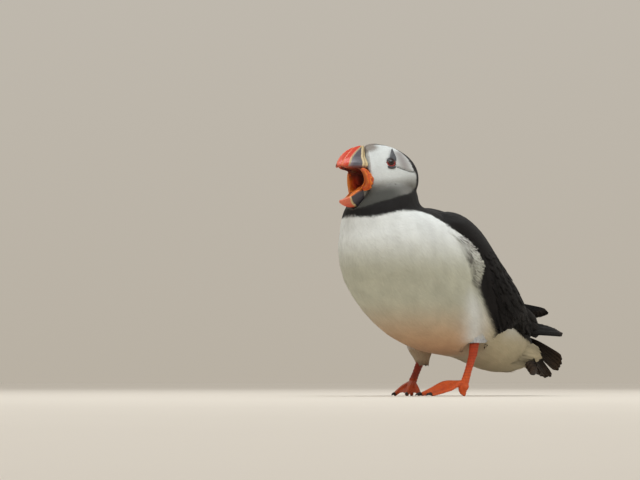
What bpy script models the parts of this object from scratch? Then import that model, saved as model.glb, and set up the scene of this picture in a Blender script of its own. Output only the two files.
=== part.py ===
"""Atlantic puffin, standing upright and calling with its bill wide open.

The bird faces -Y, its left side is +X and +Z is up. Tables and sizes below are in millimetres and
become metres where a mesh is made. Body places are written (forward, left, up), from a point on the
floor between the feet; head places are written (ahead, left, up), from the middle of the skull.
"""

import math

import bmesh
import bpy
import numpy as np
from mathutils import Matrix, Vector
from mathutils.bvhtree import BVHTree

MM = 0.001
GAP = 0.3  # between touching pieces
ORIGIN_SHIFT = (-18.6, 0.0)  # (forward, left) of the model's box middle from the point between the feet

# Trunk and neck: (back line forward, up), (belly line forward, up), half width, share of the way
# from back to belly where it is widest.
BODY_STATIONS = [
    ((-112, 47), (-108, 36), 6, 0.50),
    ((-102, 55), (-98, 25), 17, 0.50),
    ((-94, 67), (-80, 19.5), 27, 0.51),
    ((-84, 82), (-58, 22), 36, 0.53),
    ((-76, 98), (-30, 32), 43, 0.54),
    ((-64, 113), (4, 37), 47.5, 0.55),
    ((-52, 127), (35, 49), 50.5, 0.55),
    ((-40, 139), (61, 69), 51.5, 0.53),
    ((-27, 149), (81, 94), 50, 0.51),
    ((-12, 156), (88.5, 119), 46, 0.50),
    ((3, 160), (87.5, 138), 40, 0.50),
    ((17, 162.5), (86.5, 151), 34, 0.50),
    ((19.5, 172), (82, 163), 28.5, 0.50),
    ((24, 189), (69, 181), 16, 0.50),
]
BODY_RING = 28
NECK_BASE_CUT = ((6, 165), (92, 145))  # (forward, up) of two points on the cut below the neck
NECK_TOP_CUT = ((15, 178), (80, 158.5))  # and on the cut under the head

# Head, closed to the front by the slanted base of the bill.
HEAD_CENTRE = (42, 0, 187.3)
HEAD_ROLL = math.radians(7)  # crown leaning to the bird's right
HEAD_YAW = math.radians(0)
HEAD_PITCH = math.radians(0)
HEAD_STATIONS = [
    ((-23.5, 1), (-23, -8), 3, 0.50),
    ((-21.2, 10), (-20.5, -15), 12, 0.52),
    ((-15.5, 18), (-16, -21), 18, 0.55),
    ((-8, 23.2), (-8, -25), 20.5, 0.57),
    ((1, 26.4), (2, -27), 20.5, 0.59),
    ((10, 27.6), (12, -28.5), 18.5, 0.61),
    ((17.5, 27.4), (21, -29), 16.2, 0.62),
    ((22.5, 26.3), (27, -29), 13.8, 0.62),
    ((25, 25.2), (34, -27), 13.4, 0.60),
]
HEAD_RING = 24

# Bill. The upper ridge runs level, then down a quarter circle; the jaw is drawn shut and swung open.
BILL_BASE = (25.2, 24.0)  # (ahead, up) of the ridge's base
TOMIUM_UP = 6.2  # height of the cutting edges with the bill shut
UPPER_STATIONS = [
    ((25.3, 25.2), (30.5, 3.4), 9.8, 0.86),
    ((31.5, 24.6), (35.0, 3.6), 9.2, 0.86),
    ((38.5, 22.7), (40.0, 4.2), 7.9, 0.85),
    ((45.2, 19.5), (44.3, 4.8), 6.3, 0.84),
    ((50.8, 15.1), (48.8, 5.4), 4.7, 0.82),
    ((54.5, 10.4), (52.6, 5.6), 2.8, 0.78),
    ((56.6, 6.2), (55.4, 4.2), 1.0, 0.60),
]
LOWER_STATIONS = [
    ((34.5, 6.0), (39.0, -5.4), 9.0, 0.14),
    ((41.0, 5.9), (45.5, -5.6), 7.8, 0.15),
    ((47.5, 5.8), (52.0, -4.2), 6.2, 0.16),
    ((53.5, 6.0), (57.8, -1.2), 4.3, 0.18),
    ((58.5, 6.4), (61.4, 2.4), 2.4, 0.25),
    ((61.5, 6.9), (62.8, 5.0), 0.9, 0.50),
]
BILL_RING = 16
HOLLOW = 0.66  # width of the palate and of the trough over the bill's own
PALATE_DEPTH = 6.0
JAW_HINGE = (-7, 6.5)
GAPE_ANGLE = math.radians(25.8)
MOUTH_CENTRE = (30, 0, -4.5)
MOUTH_SIZE = (19, 10.4, 9.6)  # half sizes of the throat's opening
TONGUE_STATIONS = [
    ((24, 5.0), (24, 1.4), 3.2, 0.5),
    ((30, 5.4), (30, 1.2), 4.2, 0.5),
    ((38, 5.3), (38, 1.4), 3.8, 0.5),
    ((45, 4.8), (45, 2.2), 2.4, 0.5),
    ((48.5, 4.2), (48.5, 3.0), 0.9, 0.5),
]
# The fleshy fold round each mouth corner: (ahead, left, up, radius).
GAPE_PATH = [
    (36.5, 9.2, 2.4, 1.7),
    (34.6, 11.4, -0.4, 2.8),
    (33.2, 12.8, -5.2, 3.5),
    (32.6, 13.0, -9.8, 3.6),
    (34.0, 11.8, -13.0, 3.0),
    (36.5, 9.4, -15.0, 1.7),
]

# Eye: centre in head places, and the horny plates above and below it.
EYE_PLACE = (8.4, 15.4, 7.0)
EYE_RADIUS = 4.2
UPPER_PLATE = (2.6, 12.0)  # half length, height
LOWER_PLATE = (3.4, 1.5)
PLATE_LIFT = 0.7  # how far a plate stands out of the face
PLATE_ROOT = 0.8  # and how deep it sits in it

# Wings: (upper edge forward, up), (lower edge forward, up) of the folded wing seen from the side,
# from the shoulder to the rump, then the long flight feathers.
WING_ROWS = [
    ((7, 156.5), (10, 153.5)),
    ((0, 158), (10, 148)),
    ((-12, 154), (5, 142)),
    ((-25, 147), (-7, 129)),
    ((-37, 138), (-15, 116)),
    ((-49, 126), (-19, 99)),
    ((-60, 113), (-22, 85)),
    ((-69, 99), (-29, 69)),
    ((-77, 86), (-38, 53)),
    ((-83, 77), (-50, 60)),
    ((-89, 67), (-64, 59)),
    ((-93, 60), (-79, 51)),
]
WING_THICKNESS = 6.5
FLIGHT_LEFT = ((-60, 29, 59), (-127.5, 22, 57))  # root and tip
FLIGHT_RIGHT = ((-62, 24, 80), (-134.5, 4, 70))
FLIGHT_WIDTH = 14
FLIGHT_THICKNESS = 3.6

# Tail: a fan of rounded feathers, hanging down and cupped upwards at its edges.
TAIL_ROOT = (-94, 0, 56)
TAIL_LENGTH = 59
TAIL_EDGE_LENGTH = 49
TAIL_DROP = math.radians(49)
TAIL_HALF_FAN = math.radians(36)
TAIL_CUP = 7.0
TAIL_FEATHERS = 12
TAIL_THICKNESS = 3.0

# Legs: (forward, left, up) of the heel joint and of the foot joint, the middle toe's inward turn
# in degrees, and
# how far down the shank the thigh's feathers reach.
LEGS = {
    "left": {"side": 1, "heel": (-29, 27, 46), "ankle": (-16.5, 27, 12), "turn": 22, "cuff": 0.16},
    "right": {"side": -1, "heel": (-14, 27, 39), "ankle": (-1, 27, 12), "turn": 46, "cuff": 0.24},
}
TARSUS_RADII = (5.0, 3.7, 3.4, 4.0)
TARSUS_FLATTEN = 0.72  # side to side over front to back
# Toes: name, degrees outward from the middle toe, length, radius at the root and at the tip.
TOES = [
    ("inner", -19, 28, 3.0, 1.9),
    ("middle", 0, 38, 3.2, 2.0),
    ("outer", 19, 34, 2.9, 1.9),
]
TOE_ROOT_UP = 11.0  # height of the toes where they leave the ankle
TOE_ARCH = 1.5  # 1 is a straight slope down to the tip, more is a higher arch
CLAW_LENGTH = 7.0
CLAW_BEND = [(0, 0, 1.6), (0.35, 0.6, 1.4), (0.75, 0.2, 0.9), (1, -0.9, 0.35)]  # share, lift, radius
WEB_THICKNESS = 1.1

COLOURS = {
    "feathers_black": ((0.012, 0.011, 0.011), 0.6),
    "feathers_white": ((0.78, 0.78, 0.74), 0.8),
    "feathers_face": ((0.62, 0.62, 0.60), 0.8),
    "horn_red": ((0.60, 0.09, 0.03), 0.35),
    "horn_grey": ((0.06, 0.06, 0.08), 0.4),
    "gape_orange": ((0.85, 0.25, 0.02), 0.5),
    "skin_orange": ((0.80, 0.17, 0.03), 0.45),
    "mouth_red": ((0.35, 0.03, 0.02), 0.4),
    "claw_black": ((0.01, 0.01, 0.01), 0.3),
    "eye_dark": ((0.02, 0.01, 0.01), 0.05),
}


def place(forward, left, up):
    """A body place as a vector in metres."""
    return Vector((left - ORIGIN_SHIFT[1], ORIGIN_SHIFT[0] - forward, up)) * MM


def head_matrix():
    """Head places (ahead, left, up) in millimetres to the world in metres."""
    axes = Matrix(((0, 1, 0), (-1, 0, 0), (0, 0, 1))).to_4x4()
    turn = (
        Matrix.Rotation(HEAD_YAW, 4, "Z")
        @ Matrix.Rotation(-HEAD_PITCH, 4, "Y")
        @ Matrix.Rotation(HEAD_ROLL, 4, "X")
    )
    return Matrix.Translation(place(*HEAD_CENTRE)) @ axes @ turn @ Matrix.Scale(MM, 4)


def jaw_matrix():
    """Shut-jaw places to open-jaw ones, both in head millimetres."""
    hinge = Vector((JAW_HINGE[0], 0, JAW_HINGE[1]))
    swing = Matrix.Rotation(GAPE_ANGLE, 4, "Y")
    return Matrix.Translation(hinge) @ swing @ Matrix.Translation(-hinge)


def smooth_through(rows, at):
    """The rows of a table read at a fractional row number, along a smooth curve through them."""
    rows = np.asarray(rows, float)
    last = len(rows) - 1
    i = min(int(at), last - 1)
    t = at - i
    before, after = rows[max(i - 1, 0)], rows[min(i + 2, last)]
    a, b = rows[i], rows[i + 1]
    rise_a = (b - before) / (2 if i else 1)
    rise_b = (after - a) / (2 if i + 2 <= last else 1)
    return (
        (2 * t**3 - 3 * t**2 + 1) * a
        + (t**3 - 2 * t**2 + t) * rise_a
        + (3 * t**2 - 2 * t**3) * b
        + (t**3 - t**2) * rise_b
    )


class Surface:
    """A closed tube through slanted sections. share runs from first station to last, angle from the
    top line (0) over the left side to the bottom line (pi)."""

    def __init__(self, stations):
        self.rows = [(*top, *bottom, width, bulge) for top, bottom, width, bulge in stations]

    def point(self, share, angle):
        row = smooth_through(self.rows, share * (len(self.rows) - 1))
        top, bottom, width, bulge = row[0:2], row[2:4], row[4], row[5]
        down = ((1 - math.cos(angle)) / 2) ** (math.log(bulge) / math.log(0.5))
        ahead, up = top + (bottom - top) * down
        return np.array((ahead, width * math.sin(angle), up))

    def normal(self, share, angle):
        step = 0.004
        low, high = max(share - step, 0), min(share + step, 1)
        along = self.point(high, angle) - self.point(low, angle)
        around = self.point(share, angle + step) - self.point(share, angle - step)
        across = np.cross(around, along)
        return across / np.linalg.norm(across)


def new_object(name, mesh, collection, material=None):
    obj = bpy.data.objects.new(name, mesh)
    collection.objects.link(obj)
    if material:
        mesh.materials.append(material)
    return obj


def mesh_from(name, rings, poles, matrix):
    """A closed mesh over rings of points, with a fan to a pole at each end."""
    shape = bmesh.new()
    rows = [[shape.verts.new(matrix @ Vector(p)) for p in ring] for ring in rings]
    for low, high in zip(rows, rows[1:]):
        for i in range(len(low)):
            j = (i + 1) % len(low)
            shape.faces.new((low[i], low[j], high[j], high[i]))
    for pole, ring in zip(poles, (rows[0], rows[-1])):
        tip = shape.verts.new(matrix @ Vector(pole))
        for i in range(len(ring)):
            shape.faces.new((ring[i], ring[(i + 1) % len(ring)], tip))
    bmesh.ops.recalc_face_normals(shape, faces=shape.faces)
    mesh = bpy.data.meshes.new(name)
    shape.to_mesh(mesh)
    shape.free()
    return mesh


def loft_mesh(name, surface, ring, steps, matrix):
    """The whole of a Surface as a mesh."""
    angles = [2 * math.pi * k / ring for k in range(ring)]
    shares = [i / steps for i in range(steps + 1)]
    rings = [[surface.point(s, a) for a in angles] for s in shares]
    poles = [np.mean(rings[0], axis=0), np.mean(rings[-1], axis=0)]
    return mesh_from(name, rings, poles, matrix)


def slab_mesh(name, upper, lower, along, across, matrix=None):
    """A closed plate between two point functions of (u, v), both from 0 to 1."""
    matrix = matrix or Matrix.Identity(4)
    shape = bmesh.new()
    sheets = []
    for side in (upper, lower):
        sheets.append(
            [
                [shape.verts.new(matrix @ Vector(side(i / along, j / across))) for j in range(across + 1)]
                for i in range(along + 1)
            ]
        )
    for sheet in sheets:
        for i in range(along):
            for j in range(across):
                shape.faces.new((sheet[i][j], sheet[i + 1][j], sheet[i + 1][j + 1], sheet[i][j + 1]))
    rim = [(0, j) for j in range(across)]
    rim += [(i, across) for i in range(along)]
    rim += [(along, j) for j in range(across, 0, -1)]
    rim += [(i, 0) for i in range(along, 0, -1)]
    for (i, j), (k, m) in zip(rim, rim[1:] + rim[:1]):
        shape.faces.new((sheets[0][i][j], sheets[0][k][m], sheets[1][k][m], sheets[1][i][j]))
    bmesh.ops.recalc_face_normals(shape, faces=shape.faces)
    mesh = bpy.data.meshes.new(name)
    shape.to_mesh(mesh)
    shape.free()
    return mesh


def tube_mesh(name, path, sides, flatten=1.0):
    """A capped tube through (x, y, z, radius) rows in metres, made from a bevelled curve."""
    curve = bpy.data.curves.new(name, "CURVE")
    curve.dimensions = "3D"
    curve.bevel_depth = 1.0
    curve.bevel_resolution = (sides - 4) // 2
    curve.use_fill_caps = True
    spline = curve.splines.new("POLY")
    spline.points.add(len(path) - 1)
    for point, (x, y, z, radius) in zip(spline.points, path):
        point.co = (x / flatten, y, z, 1)
        point.radius = radius
    holder = bpy.data.objects.new(name, curve)
    bpy.context.scene.collection.objects.link(holder)
    bpy.context.view_layer.update()
    graph = bpy.context.evaluated_depsgraph_get()
    mesh = bpy.data.meshes.new_from_object(holder.evaluated_get(graph))
    bpy.data.objects.remove(holder)
    shape = bmesh.new()
    shape.from_mesh(mesh)
    bmesh.ops.remove_doubles(shape, verts=shape.verts, dist=1e-6)
    bmesh.ops.scale(shape, vec=(flatten, 1, 1), verts=shape.verts)
    bmesh.ops.recalc_face_normals(shape, faces=shape.faces)
    shape.to_mesh(mesh)
    shape.free()
    return mesh


def ball_mesh(name, centre, half_sizes, matrix, segments=16, rings=10):
    shape = bmesh.new()
    bmesh.ops.create_uvsphere(shape, u_segments=segments, v_segments=rings, radius=1)
    sized = Matrix.Translation(Vector(centre)) @ Matrix.Diagonal((*half_sizes, 1))
    bmesh.ops.transform(shape, matrix=matrix @ sized, verts=shape.verts)
    bmesh.ops.recalc_face_normals(shape, faces=shape.faces)
    mesh = bpy.data.meshes.new(name)
    shape.to_mesh(mesh)
    shape.free()
    return mesh


def boolean(obj, other, operation="DIFFERENCE"):
    modifier = obj.modifiers.new(f"{operation.lower()} {other.name}", "BOOLEAN")
    modifier.operation = operation
    modifier.solver = "EXACT"
    modifier.object = other


def grown(name, mesh, by, cutters):
    """A cutter: the mesh pushed outwards, so that what it cuts keeps a gap."""
    cutter = new_object(name, mesh.copy(), cutters)
    push = cutter.modifiers.new("grow", "DISPLACE")
    push.strength = by * MM
    push.mid_level = 0
    cutter.hide_render = True
    cutter.display_type = "WIRE"
    return cutter


def evaluated_mesh(obj):
    bpy.context.view_layer.update()
    graph = bpy.context.evaluated_depsgraph_get()
    return bpy.data.meshes.new_from_object(obj.evaluated_get(graph))


def cut_by_planes(mesh, planes):
    """A copy of the mesh, keeping what lies in front of every (point, normal) and capping the cuts."""
    shape = bmesh.new()
    shape.from_mesh(mesh)
    for point, normal in planes:
        everything = shape.verts[:] + shape.edges[:] + shape.faces[:]
        cut = bmesh.ops.bisect_plane(
            shape, geom=everything, plane_co=point, plane_no=normal, clear_inner=True
        )
        rim = [e for e in cut["geom_cut"] if isinstance(e, bmesh.types.BMEdge)]
        bmesh.ops.edgeloop_fill(shape, edges=rim)
    bmesh.ops.recalc_face_normals(shape, faces=shape.faces)
    made = mesh.copy()
    shape.to_mesh(made)
    shape.free()
    return made


def plane_of(cut, towards_head):
    """The plane through a slanted cut's two (forward, up) points, half a gap to one side."""
    (f0, u0), (f1, u1) = cut
    low, high = place(f0, 0, u0), place(f1, 0, u1)
    normal = (high - low).cross(Vector((1, 0, 0))).normalized()
    if (normal.z > 0) != towards_head:
        normal = -normal
    return low + normal * (GAP / 2 * MM), normal


def materials():
    made = {}
    for name, (colour, roughness) in COLOURS.items():
        material = bpy.data.materials.new(name)
        material.use_nodes = True
        shader = material.node_tree.nodes["Principled BSDF"]
        shader.inputs["Base Color"].default_value = (*colour, 1)
        shader.inputs["Roughness"].default_value = roughness
        material.diffuse_color = (*colour, 1)
        made[name] = material
    return made


def build_body(parts, cutters, paint):
    """Trunk, neck and head, modelled whole and parted with thin cuts."""
    to_world = Matrix(((0, 1, 0, 0), (-1, 0, 0, 0), (0, 0, 1, 0), (0, 0, 0, 1)))
    shift = Matrix.Translation((-ORIGIN_SHIFT[1] * MM, ORIGIN_SHIFT[0] * MM, 0))
    body_matrix = shift @ to_world @ Matrix.Scale(MM, 4)
    surface = Surface(BODY_STATIONS)
    torso = loft_mesh("torso", surface, BODY_RING, 2 * (len(BODY_STATIONS) - 1), body_matrix)
    skull = loft_mesh("skull", Surface(HEAD_STATIONS), HEAD_RING, 2 * (len(HEAD_STATIONS) - 1), head_matrix())
    whole = new_object("whole", torso, cutters)
    boolean(whole, grown("skull_join", skull, 0, cutters), "UNION")
    joined = evaluated_mesh(whole)
    bpy.data.objects.remove(whole)

    base_up = plane_of(NECK_BASE_CUT, True)
    base_down = plane_of(NECK_BASE_CUT, False)
    top_up = plane_of(NECK_TOP_CUT, True)
    top_down = plane_of(NECK_TOP_CUT, False)
    trunk = new_object("trunk", cut_by_planes(joined, [base_down]), parts, paint["feathers_white"])
    neck = new_object("neck", cut_by_planes(joined, [base_up, top_down]), parts, paint["feathers_black"])
    head = new_object("head", cut_by_planes(joined, [top_up]), parts, paint["feathers_face"])
    trunk_gap = grown("trunk_gap", joined, GAP, cutters)
    return body_matrix, torso, skull, (trunk, neck, head), trunk_gap


def build_bill(parts, cutters, paint, neck, head):
    """Upper and lower bill, palate and trough, tongue and the folds at the mouth's corners."""
    to_world = head_matrix()
    jaw = to_world @ jaw_matrix()
    upper_mesh = loft_mesh("bill_upper", Surface(UPPER_STATIONS), BILL_RING, 12, to_world)
    lower_mesh = loft_mesh("bill_lower", Surface(LOWER_STATIONS), BILL_RING, 10, jaw)
    upper = new_object("bill_upper", upper_mesh, parts, paint["horn_red"])
    lower = new_object("bill_lower", lower_mesh, parts, paint["horn_red"])
    boolean(head, grown("bill_upper_gap", upper_mesh, GAP, cutters))
    lower_gap = grown("bill_lower_gap", lower_mesh, GAP, cutters)
    boolean(head, lower_gap)
    boolean(neck, lower_gap)

    palate = [
        ((a + 1, TOMIUM_UP + PALATE_DEPTH * (1 - i / 6)), (c, d - 4), w * HOLLOW, 0.5)
        for i, ((a, _), (c, d), w, _) in enumerate(UPPER_STATIONS[:-2])
    ]
    palate[0] = ((20, TOMIUM_UP + PALATE_DEPTH), (20, TOMIUM_UP - 5), UPPER_STATIONS[0][2] * HOLLOW, 0.5)
    palate_mesh = loft_mesh("palate", Surface(palate), 12, 6, to_world)
    boolean(upper, grown("palate_cut", palate_mesh, 0, cutters))
    trough = [
        ((c, d + 4), (c, TOMIUM_UP - 4.6 * (1 - i / 6)), w * HOLLOW, 0.5)
        for i, ((c, d), _, w, _) in enumerate(LOWER_STATIONS[:-2])
    ]
    trough[0] = ((22, TOMIUM_UP + 4), (22, TOMIUM_UP - 4.8), LOWER_STATIONS[0][2] * HOLLOW, 0.5)
    trough_mesh = loft_mesh("trough", Surface(trough), 12, 6, jaw)
    boolean(lower, grown("trough_cut", trough_mesh, 0, cutters))
    mouth = ball_mesh("mouth", MOUTH_CENTRE, MOUTH_SIZE, to_world, 12, 8)
    boolean(head, grown("mouth_cut", mouth, 0, cutters))

    tongue_mesh = loft_mesh("tongue", Surface(TONGUE_STATIONS), 10, 8, jaw)
    tongue = new_object("tongue", tongue_mesh, parts, paint["mouth_red"])
    boolean(head, grown("tongue_gap", tongue_mesh, GAP, cutters))
    boolean(lower, grown("tongue_gap_low", tongue_mesh, GAP, cutters))

    for side_name, side in (("left", 1), ("right", -1)):
        rows = [smooth_through(GAPE_PATH, i / 2) for i in range(2 * (len(GAPE_PATH) - 1) + 1)]
        path = [(*(to_world @ Vector((a, side * b, c))), r * MM) for a, b, c, r in rows]
        fold_mesh = tube_mesh(f"gape_{side_name}", path, 8)
        fold = new_object(f"gape_{side_name}", fold_mesh, parts, paint["gape_orange"])
        boolean(head, grown(f"gape_{side_name}_gap", fold_mesh, GAP, cutters))
        boolean(fold, bpy.data.objects["bill_upper_gap"])
        boolean(fold, bpy.data.objects["bill_lower_gap"])
    return tongue


def tree_of(mesh):
    shape = bmesh.new()
    shape.from_mesh(mesh)
    tree = BVHTree.FromBMesh(shape)
    shape.free()
    return tree


def on_side(tree, matrix, ahead, up, side):
    """Where a surface lies beside an (ahead, up) place, and the way out of it, in the matrix's places."""
    start = matrix @ Vector((ahead, side * 90, up))
    aim = (matrix @ Vector((ahead, 0, up)) - start).normalized()
    hit, normal, _, _ = tree.ray_cast(start, aim)
    back = matrix.inverted()
    return back @ hit, (back.to_3x3() @ normal).normalized()


def eye_plate(upper, p, q):
    """A place (ahead, up) on a horny plate: p runs up it and q from its front to its rear."""
    ahead, up = EYE_PLACE[0], EYE_PLACE[2]
    if upper:
        half = UPPER_PLATE[0] * (1 - p) ** 0.8 + 0.4
        return ahead + 1.2 - 7.0 * p + half * (1 - 2 * q), up + 2.4 + UPPER_PLATE[1] * p
    drop = 2.8 + LOWER_PLATE[1] * (1 - p) - 0.8 * (2 * q - 1) ** 2
    return ahead + 2.0 + LOWER_PLATE[0] * (1 - 2 * q), up - drop


def build_eyes(parts, cutters, paint, skull, head):
    """Eyeballs in their sockets, with a horny plate above and below each."""
    to_world = head_matrix()
    tree = tree_of(skull)
    for side_name, side in (("left", 1), ("right", -1)):
        ahead, out, up = EYE_PLACE
        centre = Vector((ahead, side * (out - EYE_RADIUS * 0.62), up))
        ball = ball_mesh(f"eye_{side_name}", centre, (EYE_RADIUS,) * 3, to_world, 14, 8)
        new_object(f"eye_{side_name}", ball, parts, paint["eye_dark"])
        ball_gap = grown(f"eye_{side_name}_gap", ball, GAP, cutters)
        boolean(head, ball_gap)
        for kind, upper, along, across in (("upper", True, 4, 2), ("lower", False, 1, 6)):

            def face(lift, side=side, upper=upper):
                def point(p, q):
                    spot, way = on_side(tree, to_world, *eye_plate(upper, p, q), side)
                    return spot + way * lift

                return point

            name = f"eyeplate_{kind}_{side_name}"
            plate_mesh = slab_mesh(name, face(PLATE_LIFT), face(-PLATE_ROOT), along, across, to_world)
            plate = new_object(name, plate_mesh, parts, paint["horn_grey"])
            boolean(plate, ball_gap)
            boolean(head, grown(f"{name}_gap", plate_mesh, GAP, cutters))


def build_wings(parts, cutters, paint, body_matrix, torso_mesh, trunk_gap):
    """The folded wing over each side of the trunk, and its long flight feathers past the rump."""
    tree = tree_of(torso_mesh)

    def blade(side, lift, depth):
        def point(p, q):
            row = smooth_through([(*top, *low) for top, low in WING_ROWS], p * (len(WING_ROWS) - 1))
            forward, up = row[0:2] + (row[2:4] - row[0:2]) * q
            spot, out = on_side(tree, body_matrix, forward, up, side)
            swell = (math.sin(math.pi * q) ** 0.5) * (math.sin(math.pi * (0.08 + 0.84 * p)) ** 0.6)
            return spot + out * (lift + depth * swell)

        return point

    for side_name, side, run in (("left", 1, FLIGHT_LEFT), ("right", -1, FLIGHT_RIGHT)):
        outer = blade(side, 1.6, WING_THICKNESS)
        inner = blade(side, -2.0, 0)
        wing_mesh = slab_mesh(f"wing_{side_name}", outer, inner, 18, 6, body_matrix)
        wing = new_object(f"wing_{side_name}", wing_mesh, parts, paint["feathers_black"])
        boolean(wing, trunk_gap)
        wing_gap = grown(f"wing_{side_name}_gap", wing_mesh, GAP, cutters)

        flight_mesh = slab_mesh(
            f"flight_{side_name}",
            flight_side(side, run, FLIGHT_THICKNESS / 2),
            flight_side(side, run, -FLIGHT_THICKNESS / 2),
            12,
            4,
            body_matrix,
        )
        flight = new_object(f"flight_{side_name}", flight_mesh, parts, paint["feathers_black"])
        boolean(flight, trunk_gap)
        boolean(flight, wing_gap)


def flight_side(side, ends, thick):
    """One face of the long flight feathers' blade, bowed outwards round the rump."""
    root, end = np.array(ends, float)
    run = end - root
    chord = np.cross(run, (0, 1, 0.35))
    chord /= np.linalg.norm(chord)
    outward = np.cross(chord, run)
    outward /= np.linalg.norm(outward) * math.copysign(1, outward[1])

    def point(p, q):
        width = FLIGHT_WIDTH * (1 - 0.55 * p) * (1 - p**7) ** 0.5 + 1.5
        across = chord * width * (q - 0.5)
        bow = outward * (4 * math.sin(math.pi * p) + thick * (1 - 0.6 * p))
        return (root + run * p + across + bow) * np.array((1, side, 1))

    return point


def build_tail(parts, paint, body_matrix, trunk_gap):
    """The tail fan: one plate with a rounded lobe at each feather's end."""
    root = np.array(TAIL_ROOT, float)
    back = np.array((-math.cos(TAIL_DROP), 0, -math.sin(TAIL_DROP)))
    above = np.array((-math.sin(TAIL_DROP), 0, math.cos(TAIL_DROP)))

    def sheet(lift):
        def point(p, q):
            fan = (2 * q - 1) * TAIL_HALF_FAN
            lobe = abs(math.sin(math.pi * q * TAIL_FEATHERS)) ** 0.5
            full = TAIL_LENGTH + (TAIL_EDGE_LENGTH - TAIL_LENGTH) * (2 * q - 1) ** 2
            reach = 4 + (full + 2.5 * (lobe - 1) - 4) * p
            vault = TAIL_CUP * (2 * q - 1) ** 2 * p
            run = back * math.cos(fan) + np.array((0, math.sin(fan), 0))
            return root + run * reach + above * (vault + lift * (1 - 0.6 * p))

        return point

    mesh = slab_mesh(
        "tail", sheet(TAIL_THICKNESS / 2), sheet(-TAIL_THICKNESS / 2), 4, 2 * TAIL_FEATHERS, body_matrix
    )
    tail = new_object("tail", mesh, parts, paint["feathers_black"])
    boolean(tail, trunk_gap)
    for side_name in ("left", "right"):
        boolean(tail, bpy.data.objects[f"wing_{side_name}_gap"])


def build_legs(parts, cutters, paint, body_matrix, trunk_gap):
    """Feathered thighs, scaly shanks, webbed feet standing on small flats, and claws."""
    for side_name, leg in LEGS.items():
        side = leg["side"]
        heel = np.array(leg["heel"], float) * (1, side, 1)
        ankle = np.array(leg["ankle"], float) * (1, side, 1)

        hip = heel + np.array((6, 4 * side, 26))
        cuff = heel + (ankle - heel) * leg["cuff"]
        path = [
            (*(body_matrix @ Vector(hip + (cuff - hip) * t)), r * MM)
            for t, r in ((0, 13), (0.4, 12), (0.75, 10), (1.0, 7.8))
        ]
        thigh_mesh = tube_mesh(f"thigh_{side_name}", path, 12)
        thigh = new_object(f"thigh_{side_name}", thigh_mesh, parts, paint["feathers_white"])
        boolean(thigh, trunk_gap)

        shank_top = heel + (ankle - heel) * (leg["cuff"] - 0.08)
        path = [
            (*(body_matrix @ Vector(shank_top + (ankle - shank_top) * t)), r * MM)
            for t, r in zip((0, 0.35, 0.7, 1.0), TARSUS_RADII)
        ]
        shank_mesh = tube_mesh(f"shank_{side_name}", path, 10, TARSUS_FLATTEN)
        shank = new_object(f"shank_{side_name}", shank_mesh, parts, paint["skin_orange"])
        boolean(shank, grown(f"thigh_{side_name}_gap", thigh_mesh, GAP, cutters))
        boolean(shank, trunk_gap)
        build_foot(parts, cutters, paint, body_matrix, side_name, leg, ankle, shank)


def below_floor(name, cutters):
    """A cutter that takes off whatever reaches below the floor, which leaves the small flats."""
    shape = bmesh.new()
    bmesh.ops.create_cube(shape, size=1)
    sized = Matrix.Translation((0, 0, -0.01)) @ Matrix.Diagonal((0.4, 0.4, 0.02, 1))
    bmesh.ops.transform(shape, matrix=sized, verts=shape.verts)
    mesh = bpy.data.meshes.new(name)
    shape.to_mesh(mesh)
    shape.free()
    return grown(name, mesh, 0, cutters)


def build_foot(parts, cutters, paint, body_matrix, side_name, leg, ankle, shank):
    """One foot: the ball under the ankle, three toes and two webs made one body, and the claws."""
    side = leg["side"]
    pad = ball_mesh(f"foot_{side_name}", (ankle[0] + 1, ankle[1], 6.0), (5.4, 4.4, 6.5), body_matrix, 12, 8)
    foot = new_object(f"foot_{side_name}", pad, parts, paint["skin_orange"])
    boolean(shank, grown(f"pad_{side_name}_gap", pad, GAP, cutters))
    tips = []
    for name, spread, length, root_radius, tip_radius in TOES:
        angle = math.radians(leg["turn"] - spread)
        run = np.array((math.cos(angle), -side * math.sin(angle), 0))
        start = np.array((ankle[0], ankle[1], TOE_ROOT_UP))
        end = start + run * length
        end[2] = tip_radius - 0.3
        tips.append(end)
        path = []
        for t in (0, 0.2, 0.4, 0.6, 0.8, 1.0):
            spot = start + (end - start) * t
            spot[2] = end[2] + (TOE_ROOT_UP - end[2]) * (1 - t**TOE_ARCH)
            radius = root_radius + (tip_radius - root_radius) * t
            path.append((*(body_matrix @ Vector(spot)), radius * MM))
        toe = new_object(f"toe_{name}_{side_name}", tube_mesh(f"toe_{name}", path, 6), cutters)
        toe.hide_render = True
        toe.display_type = "WIRE"
        boolean(foot, toe, "UNION")

        claw_path = []
        for t, lift, radius in CLAW_BEND:
            spot = end + run * (CLAW_LENGTH * t - 1.0) + np.array((0, 0, lift))
            claw_path.append((*(body_matrix @ Vector(spot)), radius * MM))
        claw_mesh = tube_mesh(f"claw_{name}_{side_name}", claw_path, 8)
        claw = new_object(f"claw_{name}_{side_name}", claw_mesh, parts, paint["claw_black"])
        toe_gap = grown(f"toe_{name}_{side_name}_gap", toe.data, GAP, cutters)
        boolean(shank, toe_gap)
        boolean(claw, toe_gap)
        boolean(claw, below_floor(f"claw_{name}_{side_name}_floor", cutters))
    for number, (first, second) in enumerate(zip(tips, tips[1:])):
        web_mesh = web_between(body_matrix, ankle, first, second)
        web = new_object(f"web_{number}_{side_name}", web_mesh, cutters)
        web.hide_render = True
        web.display_type = "WIRE"
        boolean(foot, web, "UNION")
    boolean(foot, below_floor(f"foot_{side_name}_floor", cutters))


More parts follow.
